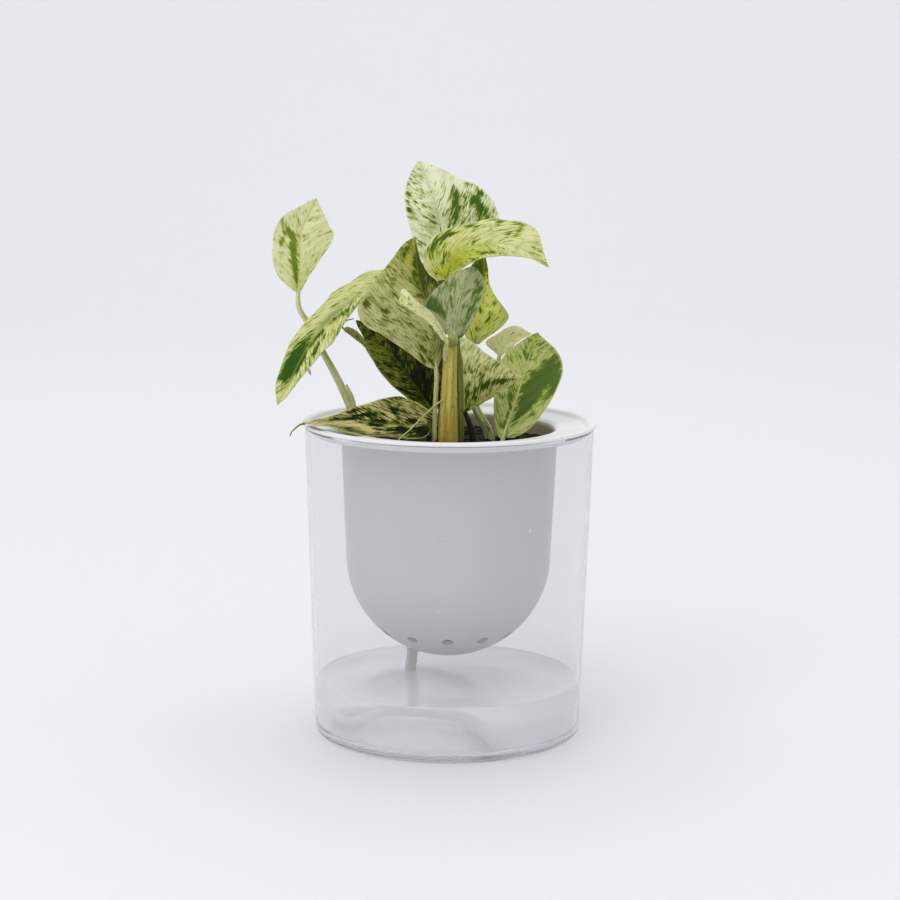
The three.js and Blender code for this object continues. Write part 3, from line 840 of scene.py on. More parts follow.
def addStem():
    sides, steps = stem["sides"], stem["steps"]
    trunk = sweepTube("trunk", stem["route"], stem["radii"], sides, steps, stemRelief)
    sides, steps = stem["rootSides"], stem["rootSteps"]
    root = sweepTube("airRoot", stem["rootRoute"], stem["rootRadii"], sides, steps)
    tones = stem["pale"], stem["olive"], stem["dark"]
    trunk.data.materials.append(stemSkin("stemSkin", *tones, foot=stem["foot"]))
    root.data.materials.append(stemSkin("rootSkin", *petioleTones))
    piece = joinPieces([trunk, root], "oliveStem")
    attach(piece, "root")
    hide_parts("main_stem")


addStem()
print("stem")


# Leaves.

blade = {
    "rows": 84,
    "columns": 22,  # on each side of the midrib
    "thick": 0.5,
    "midribStations": (0.02, 0.2, 0.4, 0.6, 0.8, 0.93),
    "midribDrop": 0.5,
    "midribRadii": (0.4, 0.12),
    "stalkSides": 14,
    "stalkSteps": 90,
    "neckRadius": 0.8,  # thickest a petiole may be where its blade starts
    "neckLength": 5.0,
    "stalkTaper": 3.0,
    "veinEvery": 3.4,  # mm between side veins
    "veinLean": 54,  # degrees that the side veins turn towards the tip
    "veinRise": 0.2,
    "grooveDepth": 0.35,
    "grooveWidth": 0.7,
    "waveEvery": 9.0,
    "waveRise": 0.9,
    "curl": ((10, 10),) * 2,  # where a leaf has no curl of its own
    "ribMark": 0.45,  # half width of the paler midrib
    "rimFrom": 0.965,  # share of the half where the pale edge starts
    "roughness": [(0.3, 0.4), (0.7, 0.55)],
    "gloss": 0.18,
    "glow": 0.25,  # light that comes through the blade
    "bump": (0.0006, 0.8),
}

# Small tubes that some leaves have: radii, sides and steps.
extras = {
    "sheath": ([1, 0.8, 0.4], 12, 20),
    "tail": ([0.45, 0.3, 0.2], 10, 24),
    "scrap": ([0.3, 0.55, 0.4, 0.15], 8, 12),
}

# Marks of the marbling per millimetre: across the side veins, along them, and over the half.
marbling = {
    "blotches": (0.5, 0.17, 1.6),
    "streaks": (1.2, 0.32, 1.6),
    "feathers": (2.4, 0.24, 1.6),
    "flecks": (2.8, 0.9, 2.4),
    "clouds": (0.2, 0.1, 0.9),
    "softWeights": (1.0, 1.4, 2.2),  # of blotches, streaks and feathers
    "crispWeights": (1.5, 1.5, 1.7),
    "softShare": [(0.18, 0), (0.34, 0.9)],  # where the second tone starts and is full
    "crispShare": [(0.44, 0), (0.54, 1)],  # the third tone over the first two
    "deepShare": [(0.54, 0), (0.76, 1)],  # the darkest within the third
    "coats": {"rib": 0.5, "rim": 0.6, "under": 0.25},  # thin coats over all of these
}

# Each leaf: its form as in the solids, with folds from base to tip in degrees for its left
# and its right half, then its colours from pale to dark, how green it is as a whole, and
# its areas as row, across, reach along, reach across and amount. Patches are greener (+)
# or paler (-), and washes take the wash tone.
leaves = {
    "leaf_small_left": {
        "margins": (
            [(0, 0), (0.02, 0.18), (0.09, 0.49), (0.17, 0.78), (0.32, 0.97), (0.51, 0.98),
             (0.64, 0.95), (0.75, 0.78), (0.84, 0.5), (0.94, 0.22), (1, 0)],
            [(0, 0), (0.03, 0.12), (0.14, 0.27), (0.26, 0.48), (0.38, 0.71), (0.52, 0.96),
             (0.75, 1), (0.82, 0.78), (0.89, 0.48), (0.95, 0.2), (1, 0)],
        ),
        "stalk": [(-33, 8, 100), (-34, 8, 112), (-40.6, 9, 129.5), (-49.5, 12, 145.5),
                  (-54.3, 13, 154.5), (-57.2, 12, 160)],
        "stalkRadius": (1.9, 1),
        "sheath": [(-35.5, 7.4, 118), (-36.8, 6.6, 126.5), (-39, 6, 131.5)],
        "spine": [(-57.5, 12, 165.5), (-57, 13, 177.5), (-56.5, 17, 188), (-51, 22, 200.5)],
        "face": [(0, -1, 0.1)] * 3,
        "half": (10.5, 12),
        "fold": ((10, 5),) * 2,
        "curl": ((20, 10),) * 2,
        "tones": (tone(240, 242, 192), tone(196, 206, 106), tone(152, 168, 54), tone(122, 142, 34)),
        "green": 0.1,
        "patches": [(0.2, -0.14, 0.16, 0.13, 0.75), (0.42, -0.18, 0.16, 0.13, 0.8),
                    (0.58, -0.26, 0.09, 0.13, 0.7), (0.66, -0.5, 0.035, 0.24, 0.6),
                    (0.67, -0.9, 0.03, 0.2, 0.55), (0.57, -0.66, 0.06, 0.09, 0.5),
                    (0.68, 0.14, 0.06, 0.04, 0.35), (0.58, 0.32, 0.04, 0.05, 0.22)],
        "washTone": tone(212, 220, 86),
        "washes": [(0.06, 0, 0.16, 0.9, 0.8), (0.3, 0.7, 0.3, 0.4, 0.25)],
        "slot": "leaf_cream",
    },
    "leaf_arching_left": {
        "margins": (
            [(0, 0), (0.22, 0.41), (0.37, 0.29), (0.49, 0.5), (0.57, 0.76), (0.66, 1), (0.73, 0.84),
             (0.81, 0.65), (0.88, 0.43), (0.95, 0.25), (1, 0)],
            [(0, 0), (-0.01, 0.33), (0.13, 0.66), (0.27, 0.84), (0.38, 1), (0.51, 0.83),
             (0.66, 0.68), (0.77, 0.65), (0.88, 0.51), (0.95, 0.29), (1, 0)],
        ),
        "stalk": [(-12, 18, 100), (-12, 18, 115), (-13, 18.5, 135), (-17, 18, 155),
                  (-21, 18, 167)],
        "stalkRadius": (1.3, 1),
        "spine": [(-23.5, 19, 172.5), (-33.5, 13.5, 165.5), (-50, -4, 151), (-63.5, -14, 126.5)],
        "face": [(-0.6, -0.4, 0.7), (-0.6, -0.4, 0.7), (-0.8, -0.5, 0.4)],
        "half": (8, 13.5),
        "fold": ((-15, -25), (15, 20)),
        "curl": ((20, 10),) * 2,
        "tones": (tone(234, 236, 168), tone(178, 188, 84), tone(120, 150, 46), tone(56, 96, 8)),
        "green": 0.2,
        "patches": [(0.8, 0.5, 0.08, 0.42, 1.1), (0.86, 0.1, 0.06, 0.4, 0.8),
                    (0.84, -0.35, 0.045, 0.3, 0.5), (0.74, -0.2, 0.07, 0.22, 0.4),
                    (0.62, -0.25, 0.12, 0.12, 0.35), (0.69, -0.7, 0.04, 0.16, 0.45),
                    (0.53, 0.42, 0.018, 0.08, 0.6), (0.59, 0.85, 0.02, 0.12, 0.6),
                    (0.62, 0.65, 0.08, 0.25, -0.3), (0.28, 0.6, 0.15, 0.4, -0.1),
                    (0.97, 0, 0.04, 1, -0.3)],
        "washTone": tone(140, 158, 98),
        "washes": [(0.62, 0.08, 0.13, 0.2, 0.9)],
        "scrap": [(-52.4, -11.8, 139.8), (-51.7, -12, 138.4), (-51.5, -11.6, 137.2)],
        "slot": "leaf_marbled",
    },
    "leaf_pale_centre": {
        "margins": (
            [(0, 0), (0.03, 0.15), (0.14, 0.4), (0.26, 0.67), (0.44, 0.94), (0.57, 1), (0.64, 0.85),
             (0.72, 0.62), (0.82, 0.4), (0.95, 0.18), (1, 0)],
            [(0, 0), (0.06, 0.24), (0.16, 0.5), (0.29, 0.73), (0.45, 0.97), (0.63, 1.01),
             (0.73, 0.53), (0.81, 0.22), (0.89, 0.09), (0.96, 0.04), (1, 0)],
        ),
        "stalk": [(-5.6, 0, 100), (-5.6, 0, 113), (-5.4, 0, 125), (-5, 0, 135)],
        "stalkRadius": (0.9, 0.9),
        "spine": [(-5, 0, 138.5), (-7, -2, 156.5), (-11.5, -1, 172), (-13.5, 3, 187.5)],
        "face": [(0.3, -1, 0.15), (0.35, -1, 0.15), (0.3, -1, 0.1)],
        "half": (25.5, 13.5),
        "fold": ((-5, -5), (-40, -40)),
        "curl": ((15, 10), (10, 10)),
        "tones": (tone(218, 216, 154), tone(156, 164, 76), tone(126, 138, 32), tone(84, 98, 4)),
        "green": 0.24,
        # The dark olive at rows 0.55 to 0.78 on the folded right half is partly marbling and partly
        # painted shade.
        "patches": [(0.78, 0.45, 0.17, 0.5, 1), (0.66, 0.1, 0.08, 0.12, 0.45),
                    (0.55, 0.9, 0.1, 0.14, 0.8), (0.88, -0.65, 0.05, 0.14, 0.6),
                    (0.84, -0.12, 0.1, 0.08, 0.5), (0.22, -0.4, 0.035, 0.1, 0.6),
                    (0.15, -0.7, 0.035, 0.14, 0.5), (0.3, -0.25, 0.03, 0.06, 0.35),
                    (0.5, -0.62, 0.06, 0.06, 0.35), (0.57, -0.9, 0.05, 0.06, 0.35),
                    (0.4, -0.35, 0.05, 0.05, 0.35), (0.7, -0.35, 0.12, 0.16, -0.15),
                    (0.42, -0.12, 0.12, 0.1, -0.2), (0.34, -0.6, 0.06, 0.3, -0.1)],
        "washTone": tone(190, 190, 50),
        "washes": [(0.92, -0.5, 0.14, 0.9, 0.8), (0.8, 0.4, 0.25, 0.8, 0.8)],
        "stalkTones": (tone(222, 216, 168), tone(198, 194, 130), tone(158, 154, 88)),
        "slot": "leaf_marbled",
    },
    "leaf_top": {
        "margins": (
            [(0, 0), (-0.16, 0.4), (-0.26, 0.68), (-0.14, 0.85), (0.07, 0.97), (0.39, 1.02),
             (0.65, 0.93), (0.78, 0.73), (0.87, 0.53), (0.94, 0.29), (1, 0)],
            [(0, 0), (-0.22, 0.12), (-0.34, 0.4), (-0.24, 0.69), (-0.07, 0.91), (0.17, 1),
             (0.36, 0.94), (0.51, 0.8), (0.67, 0.52), (0.85, 0.26), (1, 0)],
        ),
        "stalk": [(-2.8, 10, 100), (-2.8, 10, 113), (-3, 12, 140), (-3.3, 14.5, 168)],
        "stalkRadius": (1.5, 1.6),
        "spine": [(-3.5, 15, 186.5), (-5, 18, 195), (-8, 24, 204), (-12.5, 30, 214.5)],
        "face": [(0.1, -1, 0.1), (0, -1, 0.2), (0, -1, 0.3)],
        "half": (11.5, 22.5),
        "fold": ((10, 10),) * 2,
        "curl": ((20, 10),) * 2,
        "tones": (tone(250, 252, 220), tone(198, 210, 132), tone(128, 152, 52), tone(78, 110, 14)),
        "green": 0.22,
        "patches": [(0.88, 0.5, 0.2, 0.7, -0.3), (0.95, -0.4, 0.06, 0.5, -0.12),
                    (0.57, 0.4, 0.12, 0.12, 0.45), (0.54, 0.7, 0.09, 0.1, 0.85),
                    (0.63, 0.88, 0.05, 0.08, 0.7), (0.72, 0.85, 0.02, 0.14, 0.4),
                    (0.45, 0.3, 0.1, 0.08, 0.35), (0.36, 0.18, 0.1, 0.06, 0.3),
                    (0.72, -0.38, 0.08, 0.08, 0.22), (0.55, -0.42, 0.06, 0.06, 0.22),
                    (0.54, -0.88, 0.04, 0.08, 0.3), (0.68, -0.8, 0.05, 0.1, 0.12),
                    (0.4, -0.22, 0.12, 0.1, 0.25), (0.86, -0.3, 0.04, 0.3, 0.16),
                    (0.62, -0.62, 0.06, 0.06, 0.12)],
        "washTone": tone(176, 196, 122),
        "washes": [(0.36, -0.18, 0.16, 0.2, 0.7), (0.4, 0.3, 0.12, 0.2, 0.5)],
        # dark reddish brown, darkened as painted shade for the shade behind the stem where this
        # petiole stands
        "stalkTones": (tone(124, 112, 52), tone(84, 70, 30), tone(46, 34, 14)),
        "slot": "leaf_cream",
    },
    "leaf_drooping_right": {
        "margins": (
            [(0, 0), (-0.03, 0.21), (0, 0.5), (0.12, 0.68), (0.21, 0.75), (0.29, 0.78),
             (0.41, 0.81), (0.53, 1), (0.68, 0.93), (0.77, 0.81), (0.87, 0.41), (1, 0)],
            [(0, 0), (0.05, 0.19), (0.13, 0.55), (0.34, 0.88), (0.46, 0.99), (0.57, 1.01),
             (0.67, 1), (0.77, 0.85), (0.84, 0.52), (0.9, 0.23), (0.95, 0.05), (1, 0)],
        ),
        "stalk": [(3.5, 4.4, 100), (3.7, 4.4, 113), (3.3, 3.6, 140), (0, -2, 163)],
        "stalkRadius": (2, 1.7),
        "spine": [(-1.5, -6, 172.5), (2, -7.5, 181.5), (11.5, -10, 186),
                  (24, -14.5, 185.5), (35.5, -19, 178.5)],
        "face": [(0, -1, 0.3), (0, -0.55, 0.8), (0.3, -0.5, 0.8)],
        "half": (16, 7.5),
        "fold": ((0, 10),) * 2,
        "curl": ((20, 10), (30, 20)),
        "tones": (tone(236, 238, 180), tone(186, 196, 76), tone(130, 150, 28), tone(78, 106, 6)),
        "green": 0.22,
        "patches": [(0.4, -0.76, 0.06, 0.08, 0.6), (0.3, -0.55, 0.04, 0.1, 0.4),
                    (0.24, -0.32, 0.07, 0.05, 0.7), (0.3, -0.92, 0.04, 0.1, 0.35),
                    (0.54, -0.85, 0.03, 0.15, 0.6), (0.52, 0.75, 0.06, 0.12, 0.5),
                    (0.75, -0.6, 0.014, 0.25, 0.6), (0.71, -0.36, 0.014, 0.16, 0.6),
                    (0.65, -0.8, 0.012, 0.2, 0.5), (0.62, -0.5, 0.012, 0.15, 0.4),
                    (0.8, 0.2, 0.16, 0.6, -0.2), (0.58, -0.5, 0.06, 0.25, -0.15),
                    (0.34, 0.93, 0.06, 0.1, 0.45), (0.93, 0.3, 0.03, 0.5, 0.3),
                    (0.12, -0.6, 0.04, 0.15, 0.3)],
        "washTone": tone(204, 208, 24),
        "washes": [(0.28, 0.3, 0.24, 0.8, 1), (0.1, -0.5, 0.1, 0.6, 0.8),
                   (0.52, 0.6, 0.1, 0.4, 0.5)],
        "stalkTones": (tone(156, 162, 74), tone(108, 120, 38), tone(62, 74, 18)),
        "slot": "leaf_cream",
    },
    "leaf_cupped_centre": {
        "margins": (
            [(0, 0), (0.01, 0.36), (0.1, 0.61), (0.23, 0.8), (0.39, 0.96), (0.58, 1.03),
             (0.75, 0.97), (0.87, 0.85), (0.94, 0.6), (0.99, 0.25), (1, 0)],
            [(0, 0), (0.06, 0.23), (0.22, 0.53), (0.34, 0.78), (0.39, 1), (0.49, 0.93), (0.6, 0.78),
             (0.73, 0.58), (0.85, 0.38), (0.94, 0.19), (1, 0)],
        ),
        "stalk": [(0.2, -1, 146.4), (0.3, -1.4, 147.8)],
        "stalkRadius": (2.4, 2),
        "neckRadius": 2.2,
        "spine": [(1, -5, 150.5), (3, -9, 164), (8, -7, 177.5)],
        "face": [(0, 1, 0.2), (0, 1, 0.2), (0, 1, 0)],
        "half": (7.5, 12),
        "fold": ((10, 10),) * 2,
        "curl": ((20, 10),) * 2,
        "tones": (tone(212, 216, 172), tone(148, 164, 96), tone(100, 128, 36), tone(68, 100, 12)),
        "green": 0.24,
        "patches": [(0.42, 0.72, 0.07, 0.3, 0.9), (0.5, 0.85, 0.025, 0.16, 0.5),
                    (0.6, -0.75, 0.2, 0.22, 0.35), (0.6, 0.33, 0.035, 0.08, 0.6),
                    (0.7, 0.7, 0.05, 0.25, 0.3), (0.42, -0.08, 0.12, 0.18, -0.3),
                    (0.93, 0, 0.08, 1, -0.2), (0.3, -0.6, 0.2, 0.2, 0.2),
                    (0.25, 0.6, 0.05, 0.3, -0.3), (0.14, 0, 0.14, 0.6, -0.3)],
        "washTone": tone(232, 232, 190),
        "washes": [(0.1, 0, 0.2, 0.7, 0.9), (0.35, 0.1, 0.2, 0.25, 0.7),
                   (0.55, 0.45, 0.2, 0.12, 0.4)],
        "stalkTones": (tone(198, 202, 138), tone(160, 168, 92), tone(116, 128, 52)),
        "veinLean": 76,
        "slot": "leaf_marbled",
    },
    "leaf_young_bright": {
        "margins": (
            [(0, 0), (0.11, 0.52), (0.32, 0.76), (0.53, 0.76), (0.7, 0.96), (0.85, 0.88), (0.95, 1),
             (0.99, 0.56), (1, 0)],
            [(0, 0), (0.1, 0.23), (0.35, 0.3), (0.55, 0.53), (0.72, 0.5), (0.88, 0.67),
             (1.01, 0.93), (1.03, 0.43), (1, 0)],
        ),
        "stalk": [(-1.9, -3.75, 142.5), (-1.8, -6, 146)],
        "stalkRadius": (0.8, 0.8),
        "spine": [(-1, -8.5, 149), (-5, -11.5, 156.5), (-11, -15.5, 162.5), (-18, -19, 167.5)],
        "face": [(-0.3, -0.8, 0.4)] * 3,
        "half": (2.5, 3),
        "fold": ((5, 0),) * 2,
        "tones": (tone(255, 254, 214), tone(232, 238, 130), tone(164, 186, 52), tone(120, 146, 30)),
        "green": 0.17,
        "patches": [(0.72, 0.2, 0.05, 0.14, 0.5), (0.6, 0.6, 0.12, 0.14, 0.5),
                    (0.3, -0.2, 0.1, 0.1, 0.2)],
        "washTone": tone(244, 232, 156),
        "washes": [(0.6, -0.5, 0.2, 0.4, 0.5)],
        "stalkTones": (tone(226, 222, 160), tone(196, 192, 104), tone(150, 148, 60)),
        "slot": "leaf_cream",
    },
    "leaf_behind_right": {
        "margins": (
            [(0, 0), (0.01, 0.25), (0.04, 0.46), (0.13, 0.68), (0.26, 0.87), (0.4, 0.97), (0.53, 1),
             (0.67, 0.94), (0.8, 0.7), (0.92, 0.32), (1, 0)],
            [(0, 0), (0.01, 0.18), (0.12, 0.43), (0.22, 0.67), (0.32, 0.9), (0.39, 0.98),
             (0.48, 0.69), (0.57, 0.42), (0.69, 0.21), (0.81, 0.13), (0.91, 0.06), (1, 0)],
        ),
        "stalk": [(15.5, 6, 100), (15, 6, 113), (9.5, 8, 124), (8, 10, 142)],
        "stalkRadius": (2.2, 1.1),
        "spine": [(9, 12, 147), (12, 16, 158), (12.5, 20, 168.5), (13, 24, 181)],
        "face": [(0.2, -1, 0.1)] * 3,
        "half": (9, 13),
        "fold": ((10, 10), (-20, -20)),
        "curl": ((20, 10), (10, 10)),
        "tones": (tone(248, 250, 146), tone(220, 226, 86), tone(148, 164, 26), tone(90, 116, 6)),
        "green": 0.2,
        "patches": [(0.88, 0, 0.1, 1.5, 0.9), (0.38, 0.27, 0.07, 0.07, 0.5),
                    (0.22, -0.1, 0.03, 0.3, 0.6), (0.45, -0.1, 0.2, 0.08, 0.3),
                    (0.8, -0.2, 0.08, 0.3, 0.4)],
        "washTone": tone(200, 212, 160),
        "washes": [(0.45, 0.95, 0.2, 0.3, 0.9), (0.06, 0.3, 0.1, 1, 0.9)],
        "stalkTones": (tone(210, 218, 164), tone(134, 158, 74), tone(64, 92, 30)),
        "scrap": [(15, 4.2, 114.5), (14.2, 3.2, 116.8), (12.8, 2.6, 118.4)],
        "slot": "leaf_marbled",
    },
    "leaf_small_behind": {
        "margins": (
            [(0, 0), (0.1, 0.23), (0.2, 0.67), (0.27, 1.03), (0.39, 0.97), (0.52, 0.79),
             (0.67, 0.71), (0.77, 0.67), (0.86, 0.53), (0.94, 0.21), (1, 0)],
            [(0, 0), (0.04, 0.27), (0.18, 0.7), (0.32, 0.87), (0.46, 1.03), (0.61, 0.93),
             (0.73, 0.8), (0.81, 0.57), (0.88, 0.37), (0.94, 0.23), (1, 0)],
        ),
        "stalk": [(17, 14, 100), (17.5, 14, 113), (18, 16, 130)],
        "stalkRadius": (1, 0.8),
        "spine": [(18.5, 18, 141), (20.5, 21, 144.5), (24, 24, 147.5), (31, 28, 149)],
        "face": [(-0.4, -1, 0.6)] * 3,
        "half": (7, 3),
        "fold": ((10, 10),) * 2,
        "tones": (tone(246, 244, 198), tone(228, 228, 146), tone(188, 198, 80), tone(140, 160, 50)),
        "green": 0.1,
        "patches": [(0.75, 0.3, 0.08, 0.2, 0.25)],
        "washTone": tone(220, 226, 100),
        "washes": [(0.75, 0.4, 0.2, 0.5, 0.7)],
        "slot": "leaf_cream",
    },
    "leaf_low_right": {
        "margins": (
            [(0, 0), (0.04, 0.33), (0.16, 0.61), (0.34, 0.82), (0.52, 0.96), (0.71, 1),
             (0.83, 0.88), (0.91, 0.63), (0.95, 0.36), (0.98, 0.13), (1, 0)],
            [(0, 0), (-0.01, 0.15), (0.1, 0.46), (0.22, 0.7), (0.36, 0.88), (0.49, 0.98),
             (0.62, 0.99), (0.75, 0.84), (0.85, 0.54), (0.95, 0.23), (1, 0)],
        ),
        "stalk": [(18, -5, 98), (19, -4.5, 107)],
        "stalkRadius": (1, 1),
        "spine": [(20, -4, 113.5), (24.5, 1, 126), (28.5, 7, 138.5), (33, 13, 151)],
        "face": [(0, 1, 0.1)] * 3,
        "half": (14, 10),
        "fold": ((0, 0),) * 2,
        "tones": (tone(228, 234, 158), tone(170, 188, 82), tone(98, 134, 36), tone(40, 86, 10)),
        "green": 0.26,
        "patches": [(0.58, -0.62, 0.1, 0.46, 1.1), (0.44, -0.32, 0.14, 0.2, 1),
                    (0.27, -0.22, 0.1, 0.09, 0.8), (0.44, -0.9, 0.06, 0.16, 0.5),
                    (0.3, -0.8, 0.09, 0.3, -0.15), (0.17, 0.4, 0.04, 0.25, 0.6),
                    (0.3, 0.16, 0.1, 0.07, 0.5), (0.45, 0.25, 0.08, 0.12, 0.35),
                    (0.84, 0.05, 0.07, 0.14, 0.4), (0.87, 0.62, 0.04, 0.2, 0.35),
                    (0.14, -0.3, 0.06, 0.3, -0.3), (0.73, -0.1, 0.04, 0.5, -0.25)],
        "washTone": tone(210, 210, 40),
        "washes": [(0.52, 0.03, 0.09, 0.1, 1), (0.93, -0.1, 0.06, 0.8, 0.7)],
        "slot": "leaf_green",
    },
    "leaf_speckled_right": {
        "margins": (
            [(0, 0), (0.09, 0.11), (0.24, 0.29), (0.37, 0.49), (0.49, 0.69), (0.56, 0.9),
             (0.61, 1.01), (0.7, 0.86), (0.77, 0.59), (0.89, 0.28), (1, 0)],
            [(0, 0), (0.05, 0.47), (0.16, 0.67), (0.32, 0.93), (0.47, 1), (0.62, 0.93),
             (0.75, 0.73), (0.84, 0.4), (0.93, 0.2), (1, 0)],
        ),
        "stalk": [(9.5, 1, 100), (9.2, 0, 110), (7.5, -2.5, 118.5)],
        "stalkRadius": (1.4, 1.2),
        "spine": [(5.5, -5, 123), (11.5, -8, 128), (18, -12, 132.5), (26.5, -16, 137.5)],
        "face": [(0, -1, -0.12), (0, -1, -0.12), (0, -1, 0)],
        "half": (23.5, 1.5),
        "fold": ((0, 0), (10, 10)),
        "tones": (tone(236, 236, 176), tone(184, 192, 100), tone(124, 138, 48), tone(66, 88, 16)),
        "green": 0.3,
        "patches": [(0.6, -0.17, 0.35, 0.07, 0.5), (0.82, -0.17, 0.06, 0.08, 0.5),
                    (0.9, -0.24, 0.03, 0.1, 0.4), (0.2, -0.3, 0.12, 0.5, 0.2),
                    (0.7, -0.8, 0.15, 0.2, -0.1)],
        "washTone": tone(174, 172, 44),
        "washes": [(0.12, -0.3, 0.16, 0.8, 0.9), (0.5, 0.5, 0.4, 0.5, 0.7)],
        # painted shade: the petiole is near black, for the shade between the stems where it stands
        "stalkTones": (tone(60, 58, 30), tone(34, 34, 14), tone(16, 15, 6)),
        "slot": "leaf_marbled",
    },
    "leaf_over_rim_left": {
        "margins": (
            [(0, 0), (0.07, 0.41), (0.2, 0.68), (0.29, 0.7), (0.41, 0.73), (0.54, 0.87),
             (0.66, 1.01), (0.74, 0.94), (0.82, 0.82), (0.91, 0.77), (1, 0)],
            [(0, 0), (-0.08, 0.34), (-0.02, 0.58), (0.08, 0.82), (0.21, 0.99), (0.4, 0.88),
             (0.55, 0.61), (0.68, 0.35), (0.8, 0.18), (0.91, 0.08), (1, 0)],
        ),
        "stalk": [(-10, 3, 100), (-10, 2.5, 110)],
        "stalkRadius": (1.2, 1),
        "tail": [(-53, -15.6, 119.8), (-55.2, -16, 119.3), (-56.8, -16, 118),
                 (-58.2, -16, 116.5), (-58.8, -16, 115)],
        "spine": [(-8.5, 0, 117.5), (-20, -8, 118.5), (-36.5, -14.5, 121), (-54, -16, 120)],
        "face": [(0, -0.85, 0.53), (0, -0.75, 0.66), (0, -0.4, 0.9)],
        "half": (15, 12),
        "fold": ((35, 35), (10, 10)),
        "tones": (tone(230, 222, 152), tone(134, 136, 44), tone(58, 82, 8), tone(14, 36, 2)),
        "green": 0.36,
        "patches": [(0.83, -0.68, 0.05, 0.09, -0.9), (0.75, -0.52, 0.045, 0.08, -0.9),
                    (0.68, -0.44, 0.045, 0.07, -0.9), (0.61, -0.55, 0.035, 0.09, -0.9),
                    (0.56, -0.74, 0.03, 0.1, -0.8), (0.66, -0.85, 0.1, 0.14, 0.25),
                    (0.59, -0.2, 0.05, 0.1, 0.8), (0.73, 0.13, 0.05, 0.12, 0.7),
                    (0.62, 0.38, 0.05, 0.1, 0.8), (0.54, 0.05, 0.05, 0.08, 0.6),
                    (0.68, 0.79, 0.06, 0.14, 0.4), (0.24, 0.19, 0.06, 0.12, 0.8),
                    # painted shade: the patch at row 0.15, across -0.7 darkens the base of the left
                    # half
                    (0.43, 0.51, 0.05, 0.12, 0.5), (0.15, -0.7, 0.16, 0.4, 0.8),
                    (0.81, 0.34, 0.05, 0.15, 0.5), (0.38, -0.5, 0.06, 0.3, 0.5),
                    (0.48, 0.28, 0.04, 0.1, -0.3), (0.34, 0.75, 0.1, 0.2, -0.2),
                    (0.96, 0, 0.05, 1, -0.5)],
        "washTone": tone(150, 156, 26),
        "washes": [(0.67, -0.9, 0.12, 0.22, 1.0), (0.3, 0.9, 0.3, 0.3, 0.3)],
        "stalkTones": (tone(176, 172, 104), tone(124, 122, 58), tone(70, 70, 26)),
        "veinLean": 68,
        "slot": "leaf_green",
    },
    "leaf_shaded_left": {
        "margins": (
            [(0, 0), (-0.06, 0.05), (0.02, 0.31), (0.12, 0.56), (0.24, 0.79), (0.39, 0.96),
             (0.57, 0.97), (0.75, 0.65), (0.86, 0.36), (0.95, 0.17), (1, 0)],
            [(0, 0), (-0.07, 0.25), (-0.1, 0.52), (-0.03, 0.8), (0.13, 0.96), (0.3, 1), (0.5, 0.88),
             (0.7, 0.62), (0.85, 0.33), (0.95, 0.12), (1, 0)],
        ),
        "stalk": [(-5.5, 6.5, 100), (-5.5, 6.5, 113)],
        "stalkRadius": (1.2, 1),
        "spine": [(-7.5, 8, 123), (-16, 7, 135), (-25, 6, 146.5), (-35.5, 5, 156)],
        "face": [(0, -1, 0)] * 3,
        "half": (7.5, 12),
        "fold": ((0, 10),) * 2,
        # Painted shade: all its tones are dark and the patches near its base are near black, for
        # the shade under the pale centre leaf.
        "tones": (tone(160, 166, 66), tone(106, 116, 20), tone(70, 84, 6), tone(22, 36, 2)),
        "green": 0.48,
        "patches": [(0.28, 0.25, 0.26, 0.35, 0.5), (0.12, -0.4, 0.12, 0.5, 0.4),
                    (0.84, -0.3, 0.04, 0.5, 0.35), (0.7, -0.5, 0.09, 0.4, -0.25),
                    (0.45, -0.75, 0.12, 0.2, -0.1), (0.35, -0.97, 0.3, 0.04, -0.7)],
        "washTone": tone(124, 132, 8),
        "washes": [(0.7, -0.4, 0.25, 0.8, 0.7)],
        # Painted shade: its petiole and midrib are darkened for the same shade.
        "stalkTones": (tone(120, 124, 50), tone(84, 90, 30), tone(46, 52, 14)),
        "slot": "leaf_green",
    },
    "leaf_behind_left": {
        "margins": (
            [(0, 0), (0.03, 0.25), (0.14, 0.58), (0.27, 0.83), (0.4, 0.95), (0.51, 0.88),
             (0.65, 0.6), (0.76, 0.2), (0.86, 0.12), (0.95, 0.05), (1, 0)],
            [(0, 0), (0.02, 0.69), (0.13, 0.96), (0.25, 1.02), (0.39, 0.93), (0.53, 0.64),
             (0.69, 0.31), (0.81, 0.36), (0.91, 0.56), (0.99, 0.38), (1, 0)],
        ),
        "stalk": [(-7, 21, 100), (-7, 21, 113)],
        "stalkRadius": (1.2, 1),
        "tail": [(-39.5, 27, 149.5), (-41.5, 27, 151), (-41, 27, 152.5), (-40, 26, 153.5),
                 (-37, 25, 154.5)],
        "spine": [(-8.5, 21, 119.5), (-18.5, 23, 131), (-29.5, 25, 142), (-41, 27, 150)],
        "face": [(0, -1, 0)] * 3,
        "half": (4, 4.5),
        "fold": ((0, 10),) * 2,
        "tones": (tone(210, 212, 136), tone(160, 168, 78), tone(112, 134, 46), tone(50, 70, 14)),
        "green": 0.34,
        "patches": [(0.2, 0, 0.3, 1, 0.3)],
        "washTone": tone(134, 130, 44),
        "washes": [(0.9, 0, 0.15, 1, 0.5)],
        "stalkTones": (tone(186, 186, 120), tone(150, 152, 84), tone(100, 104, 50)),
        "slot": "leaf_green",
    },
}


